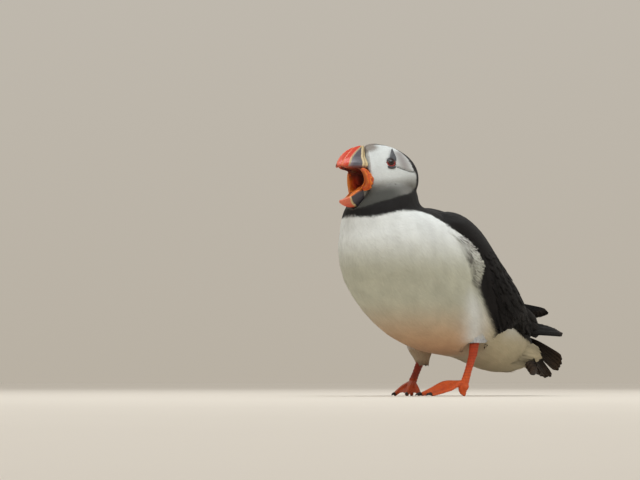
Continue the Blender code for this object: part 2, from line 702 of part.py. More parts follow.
def web_between(body_matrix, ankle, first, second):
    """The skin between two toes, its front edge drawn back in a shallow curve."""
    start = np.array((ankle[0], ankle[1], TOE_ROOT_UP))

    def sheet(lift):
        def point(p, q):
            reach = 0.10 + (0.95 - 0.10 * math.sin(math.pi * q) - 0.10) * p
            rim = first + (second - first) * q
            spot = start + (rim - start) * reach
            arch = (TOE_ROOT_UP - 1.4) * (1 - min(reach, 1) ** TOE_ARCH)
            sag = 0.6 * math.sin(math.pi * q) * (1 - p)
            return np.array((spot[0], spot[1], 1.4 + arch - sag + lift))

        return point

    return slab_mesh("web", sheet(WEB_THICKNESS / 2), sheet(-WEB_THICKNESS / 2), 4, 4, body_matrix)


def main():
    for obj in list(bpy.data.objects):
        bpy.data.objects.remove(obj)
    parts = bpy.data.collections.new("atlantic_puffin")
    cutters = bpy.data.collections.new("cutters")
    for collection in (parts, cutters):
        bpy.context.scene.collection.children.link(collection)
    paint = materials()
    body_matrix, torso, skull, (trunk, neck, head), trunk_gap = build_body(parts, cutters, paint)
    build_bill(parts, cutters, paint, neck, head)
    build_eyes(parts, cutters, paint, skull, head)
    build_wings(parts, cutters, paint, body_matrix, torso, trunk_gap)
    build_tail(parts, paint, body_matrix, trunk_gap)
    build_legs(parts, cutters, paint, body_matrix, trunk_gap)


main()
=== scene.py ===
"""Atlantic puffin, a still life-size model standing on a plain pale floor and calling.

Tables are in millimetres. Body places are (forward, left, up) from the point on the floor between
the feet, and their parts are called u, v, z. Head places are (ahead, left, up) from the middle of
the skull, and their parts are called a, l, t. A share runs from 0 to 1. Of a pair, hand says left
or right, and side is 1 or -1 for it.
"""

import math

import bmesh
import bpy
import numpy as np
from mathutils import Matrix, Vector
from mathutils.bvhtree import BVHTree


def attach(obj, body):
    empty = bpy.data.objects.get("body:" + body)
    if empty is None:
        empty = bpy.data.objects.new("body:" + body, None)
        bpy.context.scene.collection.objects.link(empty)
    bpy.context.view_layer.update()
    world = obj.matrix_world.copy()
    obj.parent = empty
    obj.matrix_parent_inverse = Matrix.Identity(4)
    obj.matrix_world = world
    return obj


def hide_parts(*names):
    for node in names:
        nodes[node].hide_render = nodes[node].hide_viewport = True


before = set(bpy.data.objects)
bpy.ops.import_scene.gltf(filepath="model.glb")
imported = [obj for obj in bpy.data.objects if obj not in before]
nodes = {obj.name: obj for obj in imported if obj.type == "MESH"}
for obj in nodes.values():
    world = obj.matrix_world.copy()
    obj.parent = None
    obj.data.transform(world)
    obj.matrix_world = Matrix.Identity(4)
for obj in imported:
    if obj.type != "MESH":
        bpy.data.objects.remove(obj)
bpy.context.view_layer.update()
bpy.ops.object.select_all(action="DESELECT")

SIDES = (("left", 1), ("right", -1))
FEET = -18.6  # the point between the feet, forward of the box's middle
HEAD_CENTRE = np.array((42.0, 0.0, 187.3))
HEAD_ROLL = math.radians(7)
JAW_HINGE = np.array((-7.0, 6.5))  # (ahead, up)
GAPE_ANGLE = math.radians(25.8)
EYE_PLACE = np.array((8.9, 12.8, 7.5))
EYE_AXIS = np.array((0.33, 0.895, 0.31))
EYE_RADIUS = 4.2

random = np.random.default_rng(7)


# ---- places


def split(rows):
    """The parts of places in an array, which change when the array does."""
    return np.moveaxis(np.asarray(rows, float), -1, 0)


def join(*parts):
    """The reverse of split. Single numbers spread over the others."""
    return np.stack(np.broadcast_arrays(*parts), -1)


def swing(first, second, angle):
    """Two parts of a place turned about the third."""
    c, s = math.cos(angle), math.sin(angle)
    return first * c - second * s, second * c + first * s


def body_ways(ways):
    """World directions as (forward, left, up)."""
    x, y, z = split(ways)
    return join(-y, x, z)


def world_ways(ways):
    u, v, z = split(ways)
    return join(v, -u, z)


def to_body(points):
    return body_ways(np.asarray(points, float) * 1000) + (FEET, 0, 0)


def from_body(places):
    return world_ways(np.asarray(places, float) - (FEET, 0, 0)) / 1000


def rolled(ways, angle):
    """Directions turned about the head's forward axis."""
    a, l, t = split(ways)
    return join(a, *swing(l, t, angle))


def to_head(places):
    return rolled(np.asarray(places, float) - HEAD_CENTRE, -HEAD_ROLL)


def from_head(places):
    return rolled(places, HEAD_ROLL) + HEAD_CENTRE


def jaw_turned(places, angle):
    """Head places turned about the hinge of the lower bill; GAPE_ANGLE swings it shut."""
    a, l, t = split(places)
    a, t = swing(a - JAW_HINGE[0], t - JAW_HINGE[1], angle)
    return join(a + JAW_HINGE[0], l, t + JAW_HINGE[1])


def step(value, low, high):
    share = np.clip((value - low) / (high - low), 0, 1)
    return share * share * (3 - 2 * share)


def near(value, middle, width):
    return np.exp(-(((value - middle) / width) ** 2))


def waves(points, size, seed):
    """Soft random ups and downs through space, about -1 to 1. size is in the points' unit."""
    draw = np.random.default_rng(seed)
    total = np.zeros(points.shape[:-1])
    for _ in range(6):
        way = draw.normal(size=3)
        way *= draw.uniform(0.6, 1.6) / np.linalg.norm(way)
        total += np.sin(points @ way * (2 * math.pi / size) + draw.uniform(0, 6.3))
    return total / 2.6


def unit(vectors):
    return vectors / np.maximum(np.linalg.norm(vectors, axis=-1, keepdims=True), 1e-9)


def varied(count, amount, *more):
    """Random factors around 1, one for each of count pieces."""
    return 1 + amount * random.normal(size=(count, *more))


def square_to(ways, axes):
    """Directions made square to the axes beside them."""
    return unit(ways - axes * np.sum(ways * axes, -1, keepdims=True))


def along_line(rows, at):
    """The second number of a table's rows at values of the first."""
    rows = np.array(rows, float)
    return np.interp(at, rows[:, 0], rows[:, 1])


def along_rows(rows, at):
    """A table's rows at fractional row numbers."""
    rows = np.asarray(rows, float)
    return join(*(np.interp(at, np.arange(len(rows)), column) for column in rows.T))


# ---- colours


def srgb(*values):
    v = np.array(values, float) / 255
    return np.where(v <= 0.04045, v / 12.92, ((v + 0.055) / 1.055) ** 2.4)


def blend(first, second, share):
    return first + (second - first) * np.asarray(share)[..., None]


def painted(ground, *layers):
    """A ground colour under others, each one given as (colour, share)."""
    for colour, share in layers:
        ground = blend(ground, colour, share)
    return ground


# ---- meshes


def values_of(items, key, width=3, kind=np.float32):
    """One property of a mesh's vertices or other items, as rows of width numbers."""
    flat = np.empty(len(items) * width, kind)
    items.foreach_get(key, flat)
    return flat.reshape(-1, width)


def points_of(mesh):
    return values_of(mesh.vertices, "co").astype(float)


def normals_of(mesh):
    return values_of(mesh.vertex_normals, "vector").astype(float)


def body_places(mesh):
    return to_body(points_of(mesh))


def head_places(mesh):
    return to_head(body_places(mesh))


def head_facing(mesh):
    """The vertex normals as (ahead, left, up) of the head."""
    return rolled(body_ways(normals_of(mesh)), -HEAD_ROLL)


def put_points(mesh, points):
    mesh.vertices.foreach_set("co", np.asarray(points, np.float32).ravel())
    mesh.update()


def put_head_places(mesh, places):
    put_points(mesh, from_body(from_head(places)))


def pushed(mesh, depth, points=None):
    """A mesh's points, or others in their order, moved out along its normals by millimetres."""
    points = points_of(mesh) if points is None else points
    return points + normals_of(mesh) * depth[:, None] * 0.001


def put_tint(mesh, colours):
    """The piece's own colours, one for each vertex or one for all."""
    layer = mesh.attributes.get("tint") or mesh.attributes.new("tint", "FLOAT_COLOR", "POINT")
    full = np.ones((len(mesh.vertices), 4), np.float32)
    full[:, :3] = colours
    layer.data.foreach_set("color", full.ravel())


def put_uv(mesh, name, values):
    """values has one (u, v) for each face corner."""
    mesh.uv_layers.new(name=name).uv.foreach_set("vector", np.asarray(values, np.float32).ravel())


def shade_smooth(mesh):
    mesh.polygons.foreach_set("use_smooth", np.ones(len(mesh.polygons), bool))


def alone(obj):
    bpy.ops.object.select_all(action="DESELECT")
    obj.select_set(True)
    bpy.context.view_layer.objects.active = obj


def apply(obj, kind, **settings):
    alone(obj)
    modifier = obj.modifiers.new(kind.lower(), kind)
    for name, value in settings.items():
        setattr(modifier, name, value)
    bpy.ops.object.modifier_apply(modifier=modifier.name)


def linked(name, data):
    obj = bpy.data.objects.new(name, data)
    bpy.context.scene.collection.objects.link(obj)
    return obj


def copy_of(name, *sources):
    """The CAD nodes' solids as one new piece, their loose triangles joined up."""
    shape = bmesh.new()
    for source in sources:
        shape.from_mesh(nodes[source].data)
    bmesh.ops.remove_doubles(shape, verts=shape.verts, dist=2e-6)
    mesh = bpy.data.meshes.new(name)
    shape.to_mesh(mesh)
    shape.free()
    return linked(name, mesh)


def refined(name, voxel, rounds, *sources, swell=0.0):
    """A fine, softly rounded mesh of CAD nodes, parted ones grown together where swell bridges them."""
    obj = copy_of(name, *sources)
    if swell:
        apply(obj, "DISPLACE", strength=swell * 0.001, mid_level=0)
    apply(obj, "REMESH", mode="VOXEL", voxel_size=voxel * 0.001)
    apply(obj, "SMOOTH", factor=0.5, iterations=rounds)
    if swell:
        apply(obj, "DISPLACE", strength=-swell * 0.001, mid_level=0)
    shade_smooth(obj.data)
    return obj


def tree_of(obj):
    """A search tree over a piece's surface."""
    shape = bmesh.new()
    shape.from_mesh(obj.data)
    tree = BVHTree.FromBMesh(shape)
    shape.free()
    return tree


def solid_tree(*sources):
    """A search tree over CAD nodes' solids."""
    solid = copy_of("solid", *sources)
    tree = tree_of(solid)
    bpy.data.objects.remove(solid)
    return tree


def new_mesh(name, points, faces):
    """A piece from arrays, points (n, 3) and faces (m, corners)."""
    mesh = bpy.data.meshes.new(name)
    mesh.vertices.add(len(points))
    mesh.vertices.foreach_set("co", np.asarray(points, np.float32).ravel())
    mesh.loops.add(faces.size)
    mesh.loops.foreach_set("vertex_index", faces.astype(np.int32).ravel())
    mesh.polygons.add(len(faces))
    starts = np.arange(0, faces.size, faces.shape[1], dtype=np.int32)
    mesh.polygons.foreach_set("loop_start", starts)
    shade_smooth(mesh)
    mesh.update(calc_edges=True)
    return linked(name, mesh)


def unwrapped(obj):
    """The piece with an unwrap of its own, for its baked looks."""
    alone(obj)
    bpy.ops.object.mode_set(mode="EDIT")
    bpy.ops.mesh.select_all(action="SELECT")
    bpy.ops.uv.smart_project(angle_limit=math.radians(66), island_margin=0.002)
    bpy.ops.object.mode_set(mode="OBJECT")
    obj.data.uv_layers[0].name = "OFBake"
    return obj


# ---- materials


class Wire:
    """A socket in a material. The signs + - * on either side of it add Math nodes."""

    def __init__(self, paint, socket):
        self.paint, self.socket = paint, socket

    def maths(self, operation, first, second=0.0):
        return self.paint.add("ShaderNodeMath", {"operation": operation}, {0: first, 1: second})

    def __add__(self, other):
        return self.maths("ADD", self, other)

    def __sub__(self, other):
        return self.maths("SUBTRACT", self, other)

    def __rsub__(self, other):
        return self.maths("SUBTRACT", other, self)

    def __mul__(self, other):
        return self.maths("MULTIPLY", self, other)

    __radd__, __rmul__ = __add__, __mul__


class Paint:
    """One material on a Principled shader. Its patterns read the piece's own places."""

    def __init__(self, name, **uniform):
        self.material = bpy.data.materials.new(name)
        self.material.use_nodes = True
        self.tree = self.material.node_tree
        self.shader = self.tree.nodes["Principled BSDF"]
        for socket, value in uniform.items():
            self.shader.inputs[socket.replace("_", " ")].default_value = value

    def add(self, kind, settings=None, sockets=None, output=0):
        """A node of any kind with its settings and inputs, as the wire from one of its outputs."""
        node = self.tree.nodes.new(kind)
        for name, value in (settings or {}).items():
            setattr(node, name, value)
        for name, value in (sockets or {}).items():
            self.feed(node.inputs[name], value)
        return Wire(self, node.outputs[output])

    def feed(self, socket, value):
        if isinstance(value, Wire):
            self.tree.links.new(value.socket, socket)
        else:
            socket.default_value = value

    def ramp(self, share, first, at, last):
        """A grey that goes from first at 0 to last at the given share."""
        wire = self.add("ShaderNodeValToRGB", None, {0: share})
        stops = wire.socket.node.color_ramp.elements
        for stop, place, grey in zip(stops, (0, at), (first, last)):
            stop.position, stop.color = place, (grey, grey, grey, 1)
        return wire

    def place(self):
        return self.add("ShaderNodeTexCoord", output=3)

    def noise(self, size, detail=3):
        """Noise from 0 to 1. size is in millimetres."""
        sockets = {"Vector": self.place(), "Scale": 1000 / size, "Detail": detail}
        return self.add("ShaderNodeTexNoise", None, sockets)

    def tint(self, amount):
        """The piece's own colours made darker or lighter by a number around 1."""
        tint = self.add("ShaderNodeAttribute", {"attribute_name": "tint"})
        return self.add("ShaderNodeVectorMath", {"operation": "SCALE"}, {0: tint, "Scale": amount})

    def mix(self, first, second, share):
        return self.add("ShaderNodeMix", {"data_type": "RGBA"}, {0: share, 6: first, 7: second}, 2)

    def finish(self, colour, roughness=None, bump=None, depth=0.0002):
        self.feed(self.shader.inputs["Base Color"], colour)
        if roughness is not None:
            self.feed(self.shader.inputs["Roughness"], roughness)
        if bump is not None:
            sockets = {"Height": bump, "Strength": 1.0, "Distance": depth}
            self.feed(self.shader.inputs["Normal"], self.add("ShaderNodeBump", None, sockets))
        return self.material


def plumage_paint():
    paint = Paint("plumage", Specular_IOR_Level=0.18, Sheen_Weight=0.04, Sheen_Roughness=0.5)
    mottle = 0.9 + paint.noise(9, 4) * 0.14 + paint.noise(1.2, 3) * 0.06
    rough = 0.62 + paint.noise(5) * 0.25
    return paint.finish(paint.tint(mottle), rough, paint.noise(0.35, 2), 0.0001)


def vane_paint():
    """Long feathers: fine barbs slanting from the shaft, which is smooth and a little paler."""
    paint = Paint("vane", Specular_IOR_Level=0.12)
    uv = paint.add("ShaderNodeUVMap", {"uv_map": "vane"})
    across = paint.add("ShaderNodeSeparateXYZ", None, {0: uv})
    along = Wire(paint, across.socket.node.outputs[1])
    side = across.maths("ABSOLUTE", across)
    barbs = side.maths("SINE", (along * 22.0 - side * 7.0) * 6.28)
    shaft = paint.ramp(side, 1.0, 0.1, 0.0)
    worn = paint.noise(14, 4) * 0.5 + paint.noise(2.5, 3) * 0.3
    colour = paint.tint(0.62 + worn + barbs * 0.07 + shaft * 0.5)
    bump = barbs * 0.25 + shaft + paint.noise(0.6) * 0.4
    return paint.finish(colour, 0.42 + paint.noise(4) * 0.3, bump, 0.00025)


def horn_paint():
    paint = Paint("horn", Specular_IOR_Level=0.5, Coat_Roughness=0.3)
    grain = paint.noise(2.2, 5)
    colour = paint.tint(0.86 + grain * 0.22 + paint.noise(0.5, 3) * 0.08)
    rough = 0.22 + paint.noise(3.0, 4) * 0.26
    return paint.finish(colour, rough, grain * 0.6 + paint.noise(0.5, 3) * 0.3, 0.00012)


def skin_paint(name, rougher, size, depth):
    """Bare wrinkled or scaly skin, with scales of a size in millimetres."""
    paint = Paint(name, Specular_IOR_Level=0.5)
    sockets = {"Vector": paint.place(), "Scale": 1000 / size}
    scales = paint.add("ShaderNodeTexVoronoi", {"feature": "DISTANCE_TO_EDGE"}, sockets)
    seams = paint.ramp(scales, 0.0, 0.16, 1.0)
    colour = paint.tint(0.80 + seams * 0.12 + paint.noise(4, 4) * 0.2)
    rough = 0.3 + paint.noise(2, 3) * rougher
    return paint.finish(colour, rough, seams * 0.6 + paint.noise(0.5, 2) * 0.4, depth)


PLUMAGE = plumage_paint()
VANE = vane_paint()
HORN = horn_paint()
BARE_SKIN = skin_paint("bare_skin", 0.3, 0.8, 0.0003)
FOLD_SKIN = skin_paint("fold_skin", 0.25, 0.5, 0.0002)


def dress(obj, paint, slot, *replaced):
    obj.data.materials.clear()
    obj.data.materials.append(paint)
    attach(obj, "root")
    if replaced:
        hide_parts(*replaced)


# ---- markings of the plumage

WHITE = srgb(231, 235, 234)
# painted shade: a grey that darkens the breast's white towards its lower part
LOW_BREAST_SHADE = srgb(184, 184, 167)
# painted warm bounce light and painted shade: the low front belly's white made warmer and darker
WARM_BOUNCE_SHADE = srgb(190, 157, 124)
# painted shade with warm bounce light: the low rump's white made darker and beige
RUMP_SHADE = srgb(176, 165, 138)
DOWN = srgb(218, 222, 222)
BLACK = srgb(22, 19, 19)
COLLAR = srgb(27, 25, 25)
FACE = srgb(217, 221, 220)
LILAC = srgb(150, 144, 142)
# the lower face's own grey, deepened with painted shade
CHEEK_GREY_SHADE = srgb(106, 104, 99)
CHIN = srgb(70, 71, 67)
BROW = srgb(136, 126, 118)
DUSKY = srgb(78, 74, 70)  # a patch before the bend of the wing
STRAND_GREY = srgb(112, 109, 105)
# painted shade deep in the mouth
MOUTH_SHADE = srgb(78, 18, 12)
MOUTH_RIM = srgb(176, 56, 22)

# Black lies above these two lines, as (forward, up), and behind the next one, as (up, forward).
COLLAR_LINE = (
    (-6, 132.3), (0, 136.3), (7, 141.2), (12, 145.2), (18.6, 148.8), (25, 152.4), (31, 154.3),
    (40, 156), (52, 155.4), (60, 153.9), (69, 151.6), (77, 149.6), (92, 150.5),
)
FACE_LINE = (
    (20, 184), (26, 178), (33, 174), (42, 170.3), (52, 168.2), (60, 165.7), (71, 162.5), (81, 158),
    (92, 155),
)
FLANK_LINE = (
    (34, -119), (37.4, -111.4), (41, -104), (45.8, -88.6), (51.6, -72.5), (56.6, -62.5), (60, -54),
    (63, -45), (66, -36), (69, -27), (77, -22), (84, -18.5), (98, -16), (111, -20), (124, -15), (132, -6),
)
# Where the flank's white ends on the wing and where the wing's own surface begins, as (up, forward).
WING_EDGE = (
    (46, -40), (53.7, -36.9), (58.8, -32.5), (68.8, -25.3), (77.2, -20.6), (84, -17), (91.5, -14.1),
    (98.3, -13.9), (104, -16.2), (111, -18.7), (117, -17.1), (124, -13.7), (128, -9.9), (133, -5.1),
    (136.3, 0), (141.2, 7), (145.7, 12.2), (149.4, 18.6), (154.4, 25),
)
WING_FRONT = (
    (46, -38), (53, -38), (69, -29), (85, -22), (99, -19), (116, -15), (129, -7), (142, 5), (148, 10),
)
# The wing's lower edge, as (forward, up), and the fold behind the eye, as (ahead, up).
WING_UNDER = (
    (-62.5, 56.6), (-51, 62.3), (-45.5, 63.1), (-40.2, 60.9), (-37.8, 57.5), (-36.9, 53), (-30, 50),
)
CREASE = ((-12, -0.2), (-9.3, 0), (-5.9, 0.4), (-0.9, 1.5), (3.4, 3.1), (7.4, 5.4))


def brow_share(a, l, t):
    """1 on the grey-brown feathers over the root of the bill."""
    return step(a, 11, 19) * step(5.2 - np.abs(l), -2.5, 1) * step(t, 16.5, 20)


def mouth_share(places):
    """1 on the lining of the open mouth."""
    a, l, t = split(to_head(places))
    inside = ((a - 31) / 20) ** 2 + (l / 11.8) ** 2 + ((t + 4.5) / 11.2) ** 2
    return step(-inside, -1.02, -0.9) * (places[:, 2] > 150)


def leg_share(places):
    """1 on the short feathered thighs, whose feathers hang down over the shanks."""
    u, v, z = split(places)
    heel = np.where(v > 0, -27.0, -12.0)
    low = np.where(v > 0, 46.0, 41.0)
    return step(-np.hypot(u - heel, np.abs(v) - 27), -10, -8.5) * step(-z, -low, 2 - low)


def black_share(places):
    """1 on the black of back, collar, nape and cap, 0 on white and grey."""
    u, _, z = split(places)
    over_collar = step(z - along_line(COLLAR_LINE, u), -0.7, 0.7)
    behind_flank = step(along_line(FLANK_LINE, z) - u, -1.5, 1.5)
    body = np.where(u > -6, over_collar, np.where(z > 132, 1.0, behind_flank))
    a, l, t = split(to_head(places))
    over_chin = step(z - along_line(FACE_LINE, u), -0.6, 0.6)
    half = 1.8 + 1.6 * step(-a, -6, 3) + np.clip(-(a + 0.5), 0, None) ** 1.8 * 0.21
    cap = step(half - np.abs(l), -0.6, 0.6) * step(t, -2, 2)
    nape = step(-a - 2.6 * step(-t, -4, 3), 10.4, 11.8)
    face = over_chin * (1 - cap) * (1 - nape) * step(z, 150, 152)
    return body * (1 - face)


def pale_colour(places):
    """White breast greyed below by painted shade, buff of painted warm bounce light and shade on belly and
    rump, and the face's own greys, with painted shade low on the face and along the fold behind the eye.
    """
    u, v, z = split(places)
    a, l, t = split(to_head(places))
    low = step(-z, -84, -42)
    heel = np.interp(z, (48, 84), (-19, -8)) + 16 * (v < 0)
    thigh = near(u, heel, np.interp(z, (48, 62, 90), (9, 12, 7))) * step(z, 42, 50) * step(-z, -98, -72)
    body = painted(
        WHITE,
        (LOW_BREAST_SHADE, step(-z, -140, -100)),
        (WARM_BOUNCE_SHADE, low * step(u, -48, -8)),
        (RUMP_SHADE, low * step(-u, 8, 48)),
        (DOWN, near(z, 62, 11) * step(-u, 42, 56) * 0.6),
        (DOWN, thigh * 0.8),
    )
    # painted light: a lighter patch low on the left rump, against the shadow the left wing's tips cast
    # there
    body = body * (1 + 0.24 * near(u, -94, 15) * near(z, 31, 9) * (v > 0))[..., None]
    body = body * (1 + 0.04 * waves(places, 34, 51) + 0.03 * waves(places, 13, 52))[..., None]
    fold = along_line(CREASE, a)
    face = painted(
        FACE,
        (CHEEK_GREY_SHADE, step(-t, 3, 15) * 0.9),
        # painted shade: darker low on the face towards the nape
        (CHEEK_GREY_SHADE, step(-t, -5, 12) * step(-a, -9, 8) * 0.5),
        (CHIN, step(-t, 10, 19) * step(a, 0, 16) * 0.88),
        (LILAC, near(a, -2.5, 6.5) * step(t - fold, 0.3, 1.5) * step(-t, -22, -17) * 0.9),
        # painted shade along the fold behind the eye
        (CHIN, near(t, fold, 0.75) * step(-a, -7.5, -5.5) * step(a, -12.5, -9) * 0.9),
        (BROW, brow_share(a, l, t) * 0.9),
    )
    return blend(body, face, step(z, 154, 157) * step(u, 15, 22))


def plumage_colour(places):
    a, _, t = split(to_head(places))
    dark = blend(BLACK, COLLAR, step(places[..., 2], 130, 150))
    dark = blend(dark, BROW, step(a, 12, 18) * step(t, 12, 16))
    return blend(pale_colour(places), dark, black_share(places))


def edge_colour(places, jitter, over_wing):
    """White of the flank going over into the black of the wing, ragged high up and soft low down."""
    u, _, z = split(places)
    low = step(-z, -106, -92)
    soft = 0.8 + 3.0 * low
    past = along_line(WING_EDGE, z) - u + jitter * (1.3 - 0.9 * low)
    share = np.maximum(step(past, -soft, soft) * over_wing, black_share(places) * (z > 132))
    dusky = near(u, -9, 5) * near(z, 117, 9) + 0.8 * near(u, -13, 3.5) * near(z, 101, 8)
    pale = blend(pale_colour(places), DUSKY, np.clip(dusky * (0.9 + 0.3 * jitter), 0, 0.9))
    return blend(pale, blend(BLACK, COLLAR, step(z, 120, 150)), share)


# ---- skin

TRUNK = ("trunk", "neck", "head", "thigh_left", "thigh_right")


def build_skin():
    """One skin under the whole plumage, as deep inside the solids as the coat is thick."""
    skin = refined("skin", 1.15, 5, *TRUNK, swell=0.35)
    mesh = skin.data
    places = body_places(mesh)
    u, v, z = split(places)
    a, _, t = split(to_head(places))
    on_head = step(z, 158, 172)
    in_mouth = mouth_share(places)
    crease = near(t, along_line(CREASE, a), 1.2) * step(-a, -7.5, -5) * step(a, -13, -9) * on_head
    sunk = to_body(pushed(mesh, -((1.2 - 0.75 * on_head) * (1 - in_mouth) + 0.6 * crease)))
    near_thigh = (v > 0) * step(11.5 - np.hypot(u + 27, v - 27), 0, 5)
    sunk[:, 2] += 6.0 * near_thigh * step(-z, -57, -43)
    put_points(mesh, from_body(sunk))
    # painted shade: the lining darker deeper in the mouth, orange towards the rim
    lining = blend(MOUTH_SHADE * 0.8, MOUTH_RIM, step(a, 24, 34))
    put_tint(mesh, blend(plumage_colour(places) * 0.95, lining, in_mouth))
    dress(skin, PLUMAGE, "feathers_white", *TRUNK)
    return unwrapped(skin)


# ---- the coat

COAT_TRIES = 760_000
LIE = unit(np.array((-0.79, 0.0, -0.61)))
SKULL_FRONT = np.array((34.0, 0.0, 0.0))
HANG = np.array((0.2, 0.0, -1.0))


def lie_of(places, normals):
    """The way the feathers lie along the skin: back and down, out from the bill on the head."""
    from_bill = rolled(unit(to_head(places) - SKULL_FRONT), HEAD_ROLL)
    share = step(places[:, 2], 160, 182)[:, None]
    way = LIE * (1 - share) + from_bill * share
    way = square_to(blend(way, HANG, leg_share(places)), normals)
    across = np.cross(normals, way)
    sway = 0.22 * waves(places, 26, 3) + 0.12 * waves(places, 7, 4) + 0.10 * random.normal(size=len(places))
    return unit(way + across * sway[:, None])


def scatter(skin, count, cell_of):
    """Places on a surface about one cell apart, with the normals and the unwrap there."""
    mesh = skin.data
    mesh.calc_loop_triangles()
    triangles = values_of(mesh.loop_triangles, "vertices", kind=np.int32)
    loops = values_of(mesh.loop_triangles, "loops", kind=np.int32)
    unwrap = values_of(mesh.uv_layers["OFBake"].uv, "vector", 2)
    points, normals = points_of(mesh), normals_of(mesh)
    first, second, third = np.moveaxis(points[triangles], 1, 0)
    area = np.linalg.norm(np.cross(second - first, third - first), axis=1)
    pick = np.searchsorted(np.cumsum(area) / area.sum(), random.random(count))
    pick = np.minimum(pick, len(triangles) - 1)
    r, q = np.sqrt(random.random(count)), random.random(count)
    weights = join(1 - r, r * (1 - q), r * q)[:, :, None]
    places = to_body((points[triangles[pick]] * weights).sum(1))
    facing = body_ways(unit((normals[triangles[pick]] * weights).sum(1)))
    uv = (unwrap[loops[pick]] * weights).sum(1)
    cell = cell_of(places)
    keep = np.zeros(count, bool)
    for size in np.unique(cell[cell > 0]):
        rows = np.nonzero(cell == size)[0]
        keys = np.floor(places[rows] / size).astype(np.int64)
        keys = keys[:, 0] * 4_000_003 + keys[:, 1] * 2_003 + keys[:, 2]
        keep[rows[np.unique(keys, return_index=True)[1]]] = True
    return places[keep], facing[keep], uv[keep]


def follow(tree, places, normals, ways, reach):
    """Each tuft's three-point line along a surface, and the surface's normals there."""
    lines = np.empty((len(places), 3, 3))
    ups = np.empty_like(lines)
    for i, (start, head) in enumerate(zip(from_body(places), world_ways(ways))):
        spot, way, stride = Vector(start), Vector(head), reach[i] / 2 / 1000
        for k in (1, 2):
            found, facing, _, _ = tree.find_nearest(spot + way * stride)
            on = found - spot
            on -= facing * on.dot(facing)
            way = on.normalized() if on.length > 1e-9 else way
            spot = found
            lines[i, k], ups[i, k] = found, facing
    lines, ups = to_body(lines), body_ways(ups)
    lines[:, 0], ups[:, 0] = places, normals
    return lines, ups


# One tuft's eight points: the root, then two rings of left edge, right edge and ridge, and the tip.
TUFT_FACES = np.array((
    (0, 1, 3), (0, 3, 2), (0, 2, 1), (1, 4, 6), (1, 6, 3), (3, 6, 5),
    (3, 5, 2), (2, 5, 4), (2, 4, 1), (4, 7, 6), (6, 7, 5), (5, 7, 4),
))
TUFT_ROWS = np.array((0, 1, 1, 1, 2, 2, 2, 2))
TUFT_LEAN = np.array((0, -1, 1, 0, -1, 1, 0, 0)) * 0.16
TUFT_LIGHT = np.array((0.93, 0.98, 0.98, 1.0, 1.0, 1.0, 1.01, 1.02))
TUFT_PATCH = 0.0015 * np.array(
    ((0, -1), (-1, -0.4), (1, -0.4), (0, -0.4), (-0.8, 0.5), (0.8, 0.5), (0, 0.5), (0, 1))
)


def tufts(name, lines, ups, width, lift, tint, uv):
    """Slim closed lancets along three-point lines, as one piece, shaded like the body they lie on.
    tint has one colour for each tuft, or one for each of its line's three points."""
    count = len(lines)
    start, middle, end = np.moveaxis(lines, 1, 0)
    sides = np.cross(ups, unit(np.stack([middle - start, end - start, end - middle], 1)))
    w, rise = (np.broadcast_to(value, count)[:, None] for value in (width, lift))
    first = middle * 0.75 + start * 0.25 + ups[:, 1] * rise * 0.45
    second = middle * 0.35 + end * 0.65 + ups[:, 2] * rise * 0.8
    points = [start - ups[:, 0] * 0.3]
    for k, ring, wide, high in ((1, first, 0.5, 0.10), (2, second, 0.42, 0.08)):
        half = sides[:, k] * w * wide
        points += [ring - half, ring + half, ring + ups[:, k] * w * high]
    points = np.stack([*points, end + ups[:, 2] * rise], 1)
    faces = (TUFT_FACES + (np.arange(count) * len(TUFT_ROWS))[:, None, None]).reshape(-1, 3)
    obj = new_mesh(name, from_body(points.reshape(-1, 3)), faces)
    facing = world_ways(unit(ups[:, TUFT_ROWS] + sides[:, TUFT_ROWS] * TUFT_LEAN[:, None])).reshape(-1, 3)
    obj.data.normals_split_custom_set_from_vertices(facing.astype(np.float32))
    shades = tint[:, TUFT_ROWS] if tint.ndim == 3 else tint[:, None]
    put_tint(obj.data, (shades * TUFT_LIGHT[:, None]).reshape(-1, 3))
    put_uv(obj.data, "OFBake", (uv[:, None] + TUFT_PATCH).reshape(-1, 2)[faces.ravel()])
    dress(obj, PLUMAGE, "feathers_white")


def cell_size(places):
    """How far apart the tufts stand, in millimetres; 0 inside the mouth."""
    u, _, z = split(places)
    by_bill = to_head(places)[:, 0] > 18
    on_face = (z > along_line(FACE_LINE, u) - 2) & (z > 155) & (u > 20)
    size = np.select([on_face & by_bill, on_face, z > 140], [0.7, 0.82, 0.95], 1.12)
    return np.where(mouth_share(places) > 0.3, 0, size)


def bare_or_hidden(places, normals):
    """True close to bill, eyes and shanks, and on the flanks under the wings."""
    u, v, z = split(places)
    hidden = np.zeros(len(places), bool)
    pairs = ("gape", "eyeplate_upper", "eyeplate_lower", "shank")
    pairs = [f"{piece}_{hand}" for piece in pairs for hand, _ in SIDES]
    bare = solid_tree("bill_upper", "bill_lower", "tongue", *pairs)
    wings = solid_tree("wing_left", "wing_right")
    world, facing = from_body(places), world_ways(normals)
    for i in np.nonzero((z > 150) | (z < 56))[0]:
        hidden[i] = bare.find_nearest(Vector(world[i]), 0.0006)[0] is not None
    for i in np.nonzero((u < 14) & (np.abs(v) > 8) & (z > 46))[0]:
        hidden[i] = wings.ray_cast(Vector(world[i]), Vector(facing[i]), 0.012)[0] is not None
    for _, side in SIDES:
        rim = (EYE_PLACE + EYE_AXIS * 2.5) * (1, side, 1)
        hidden |= np.linalg.norm(to_head(places) - rim, axis=1) <= 3.7
    return hidden


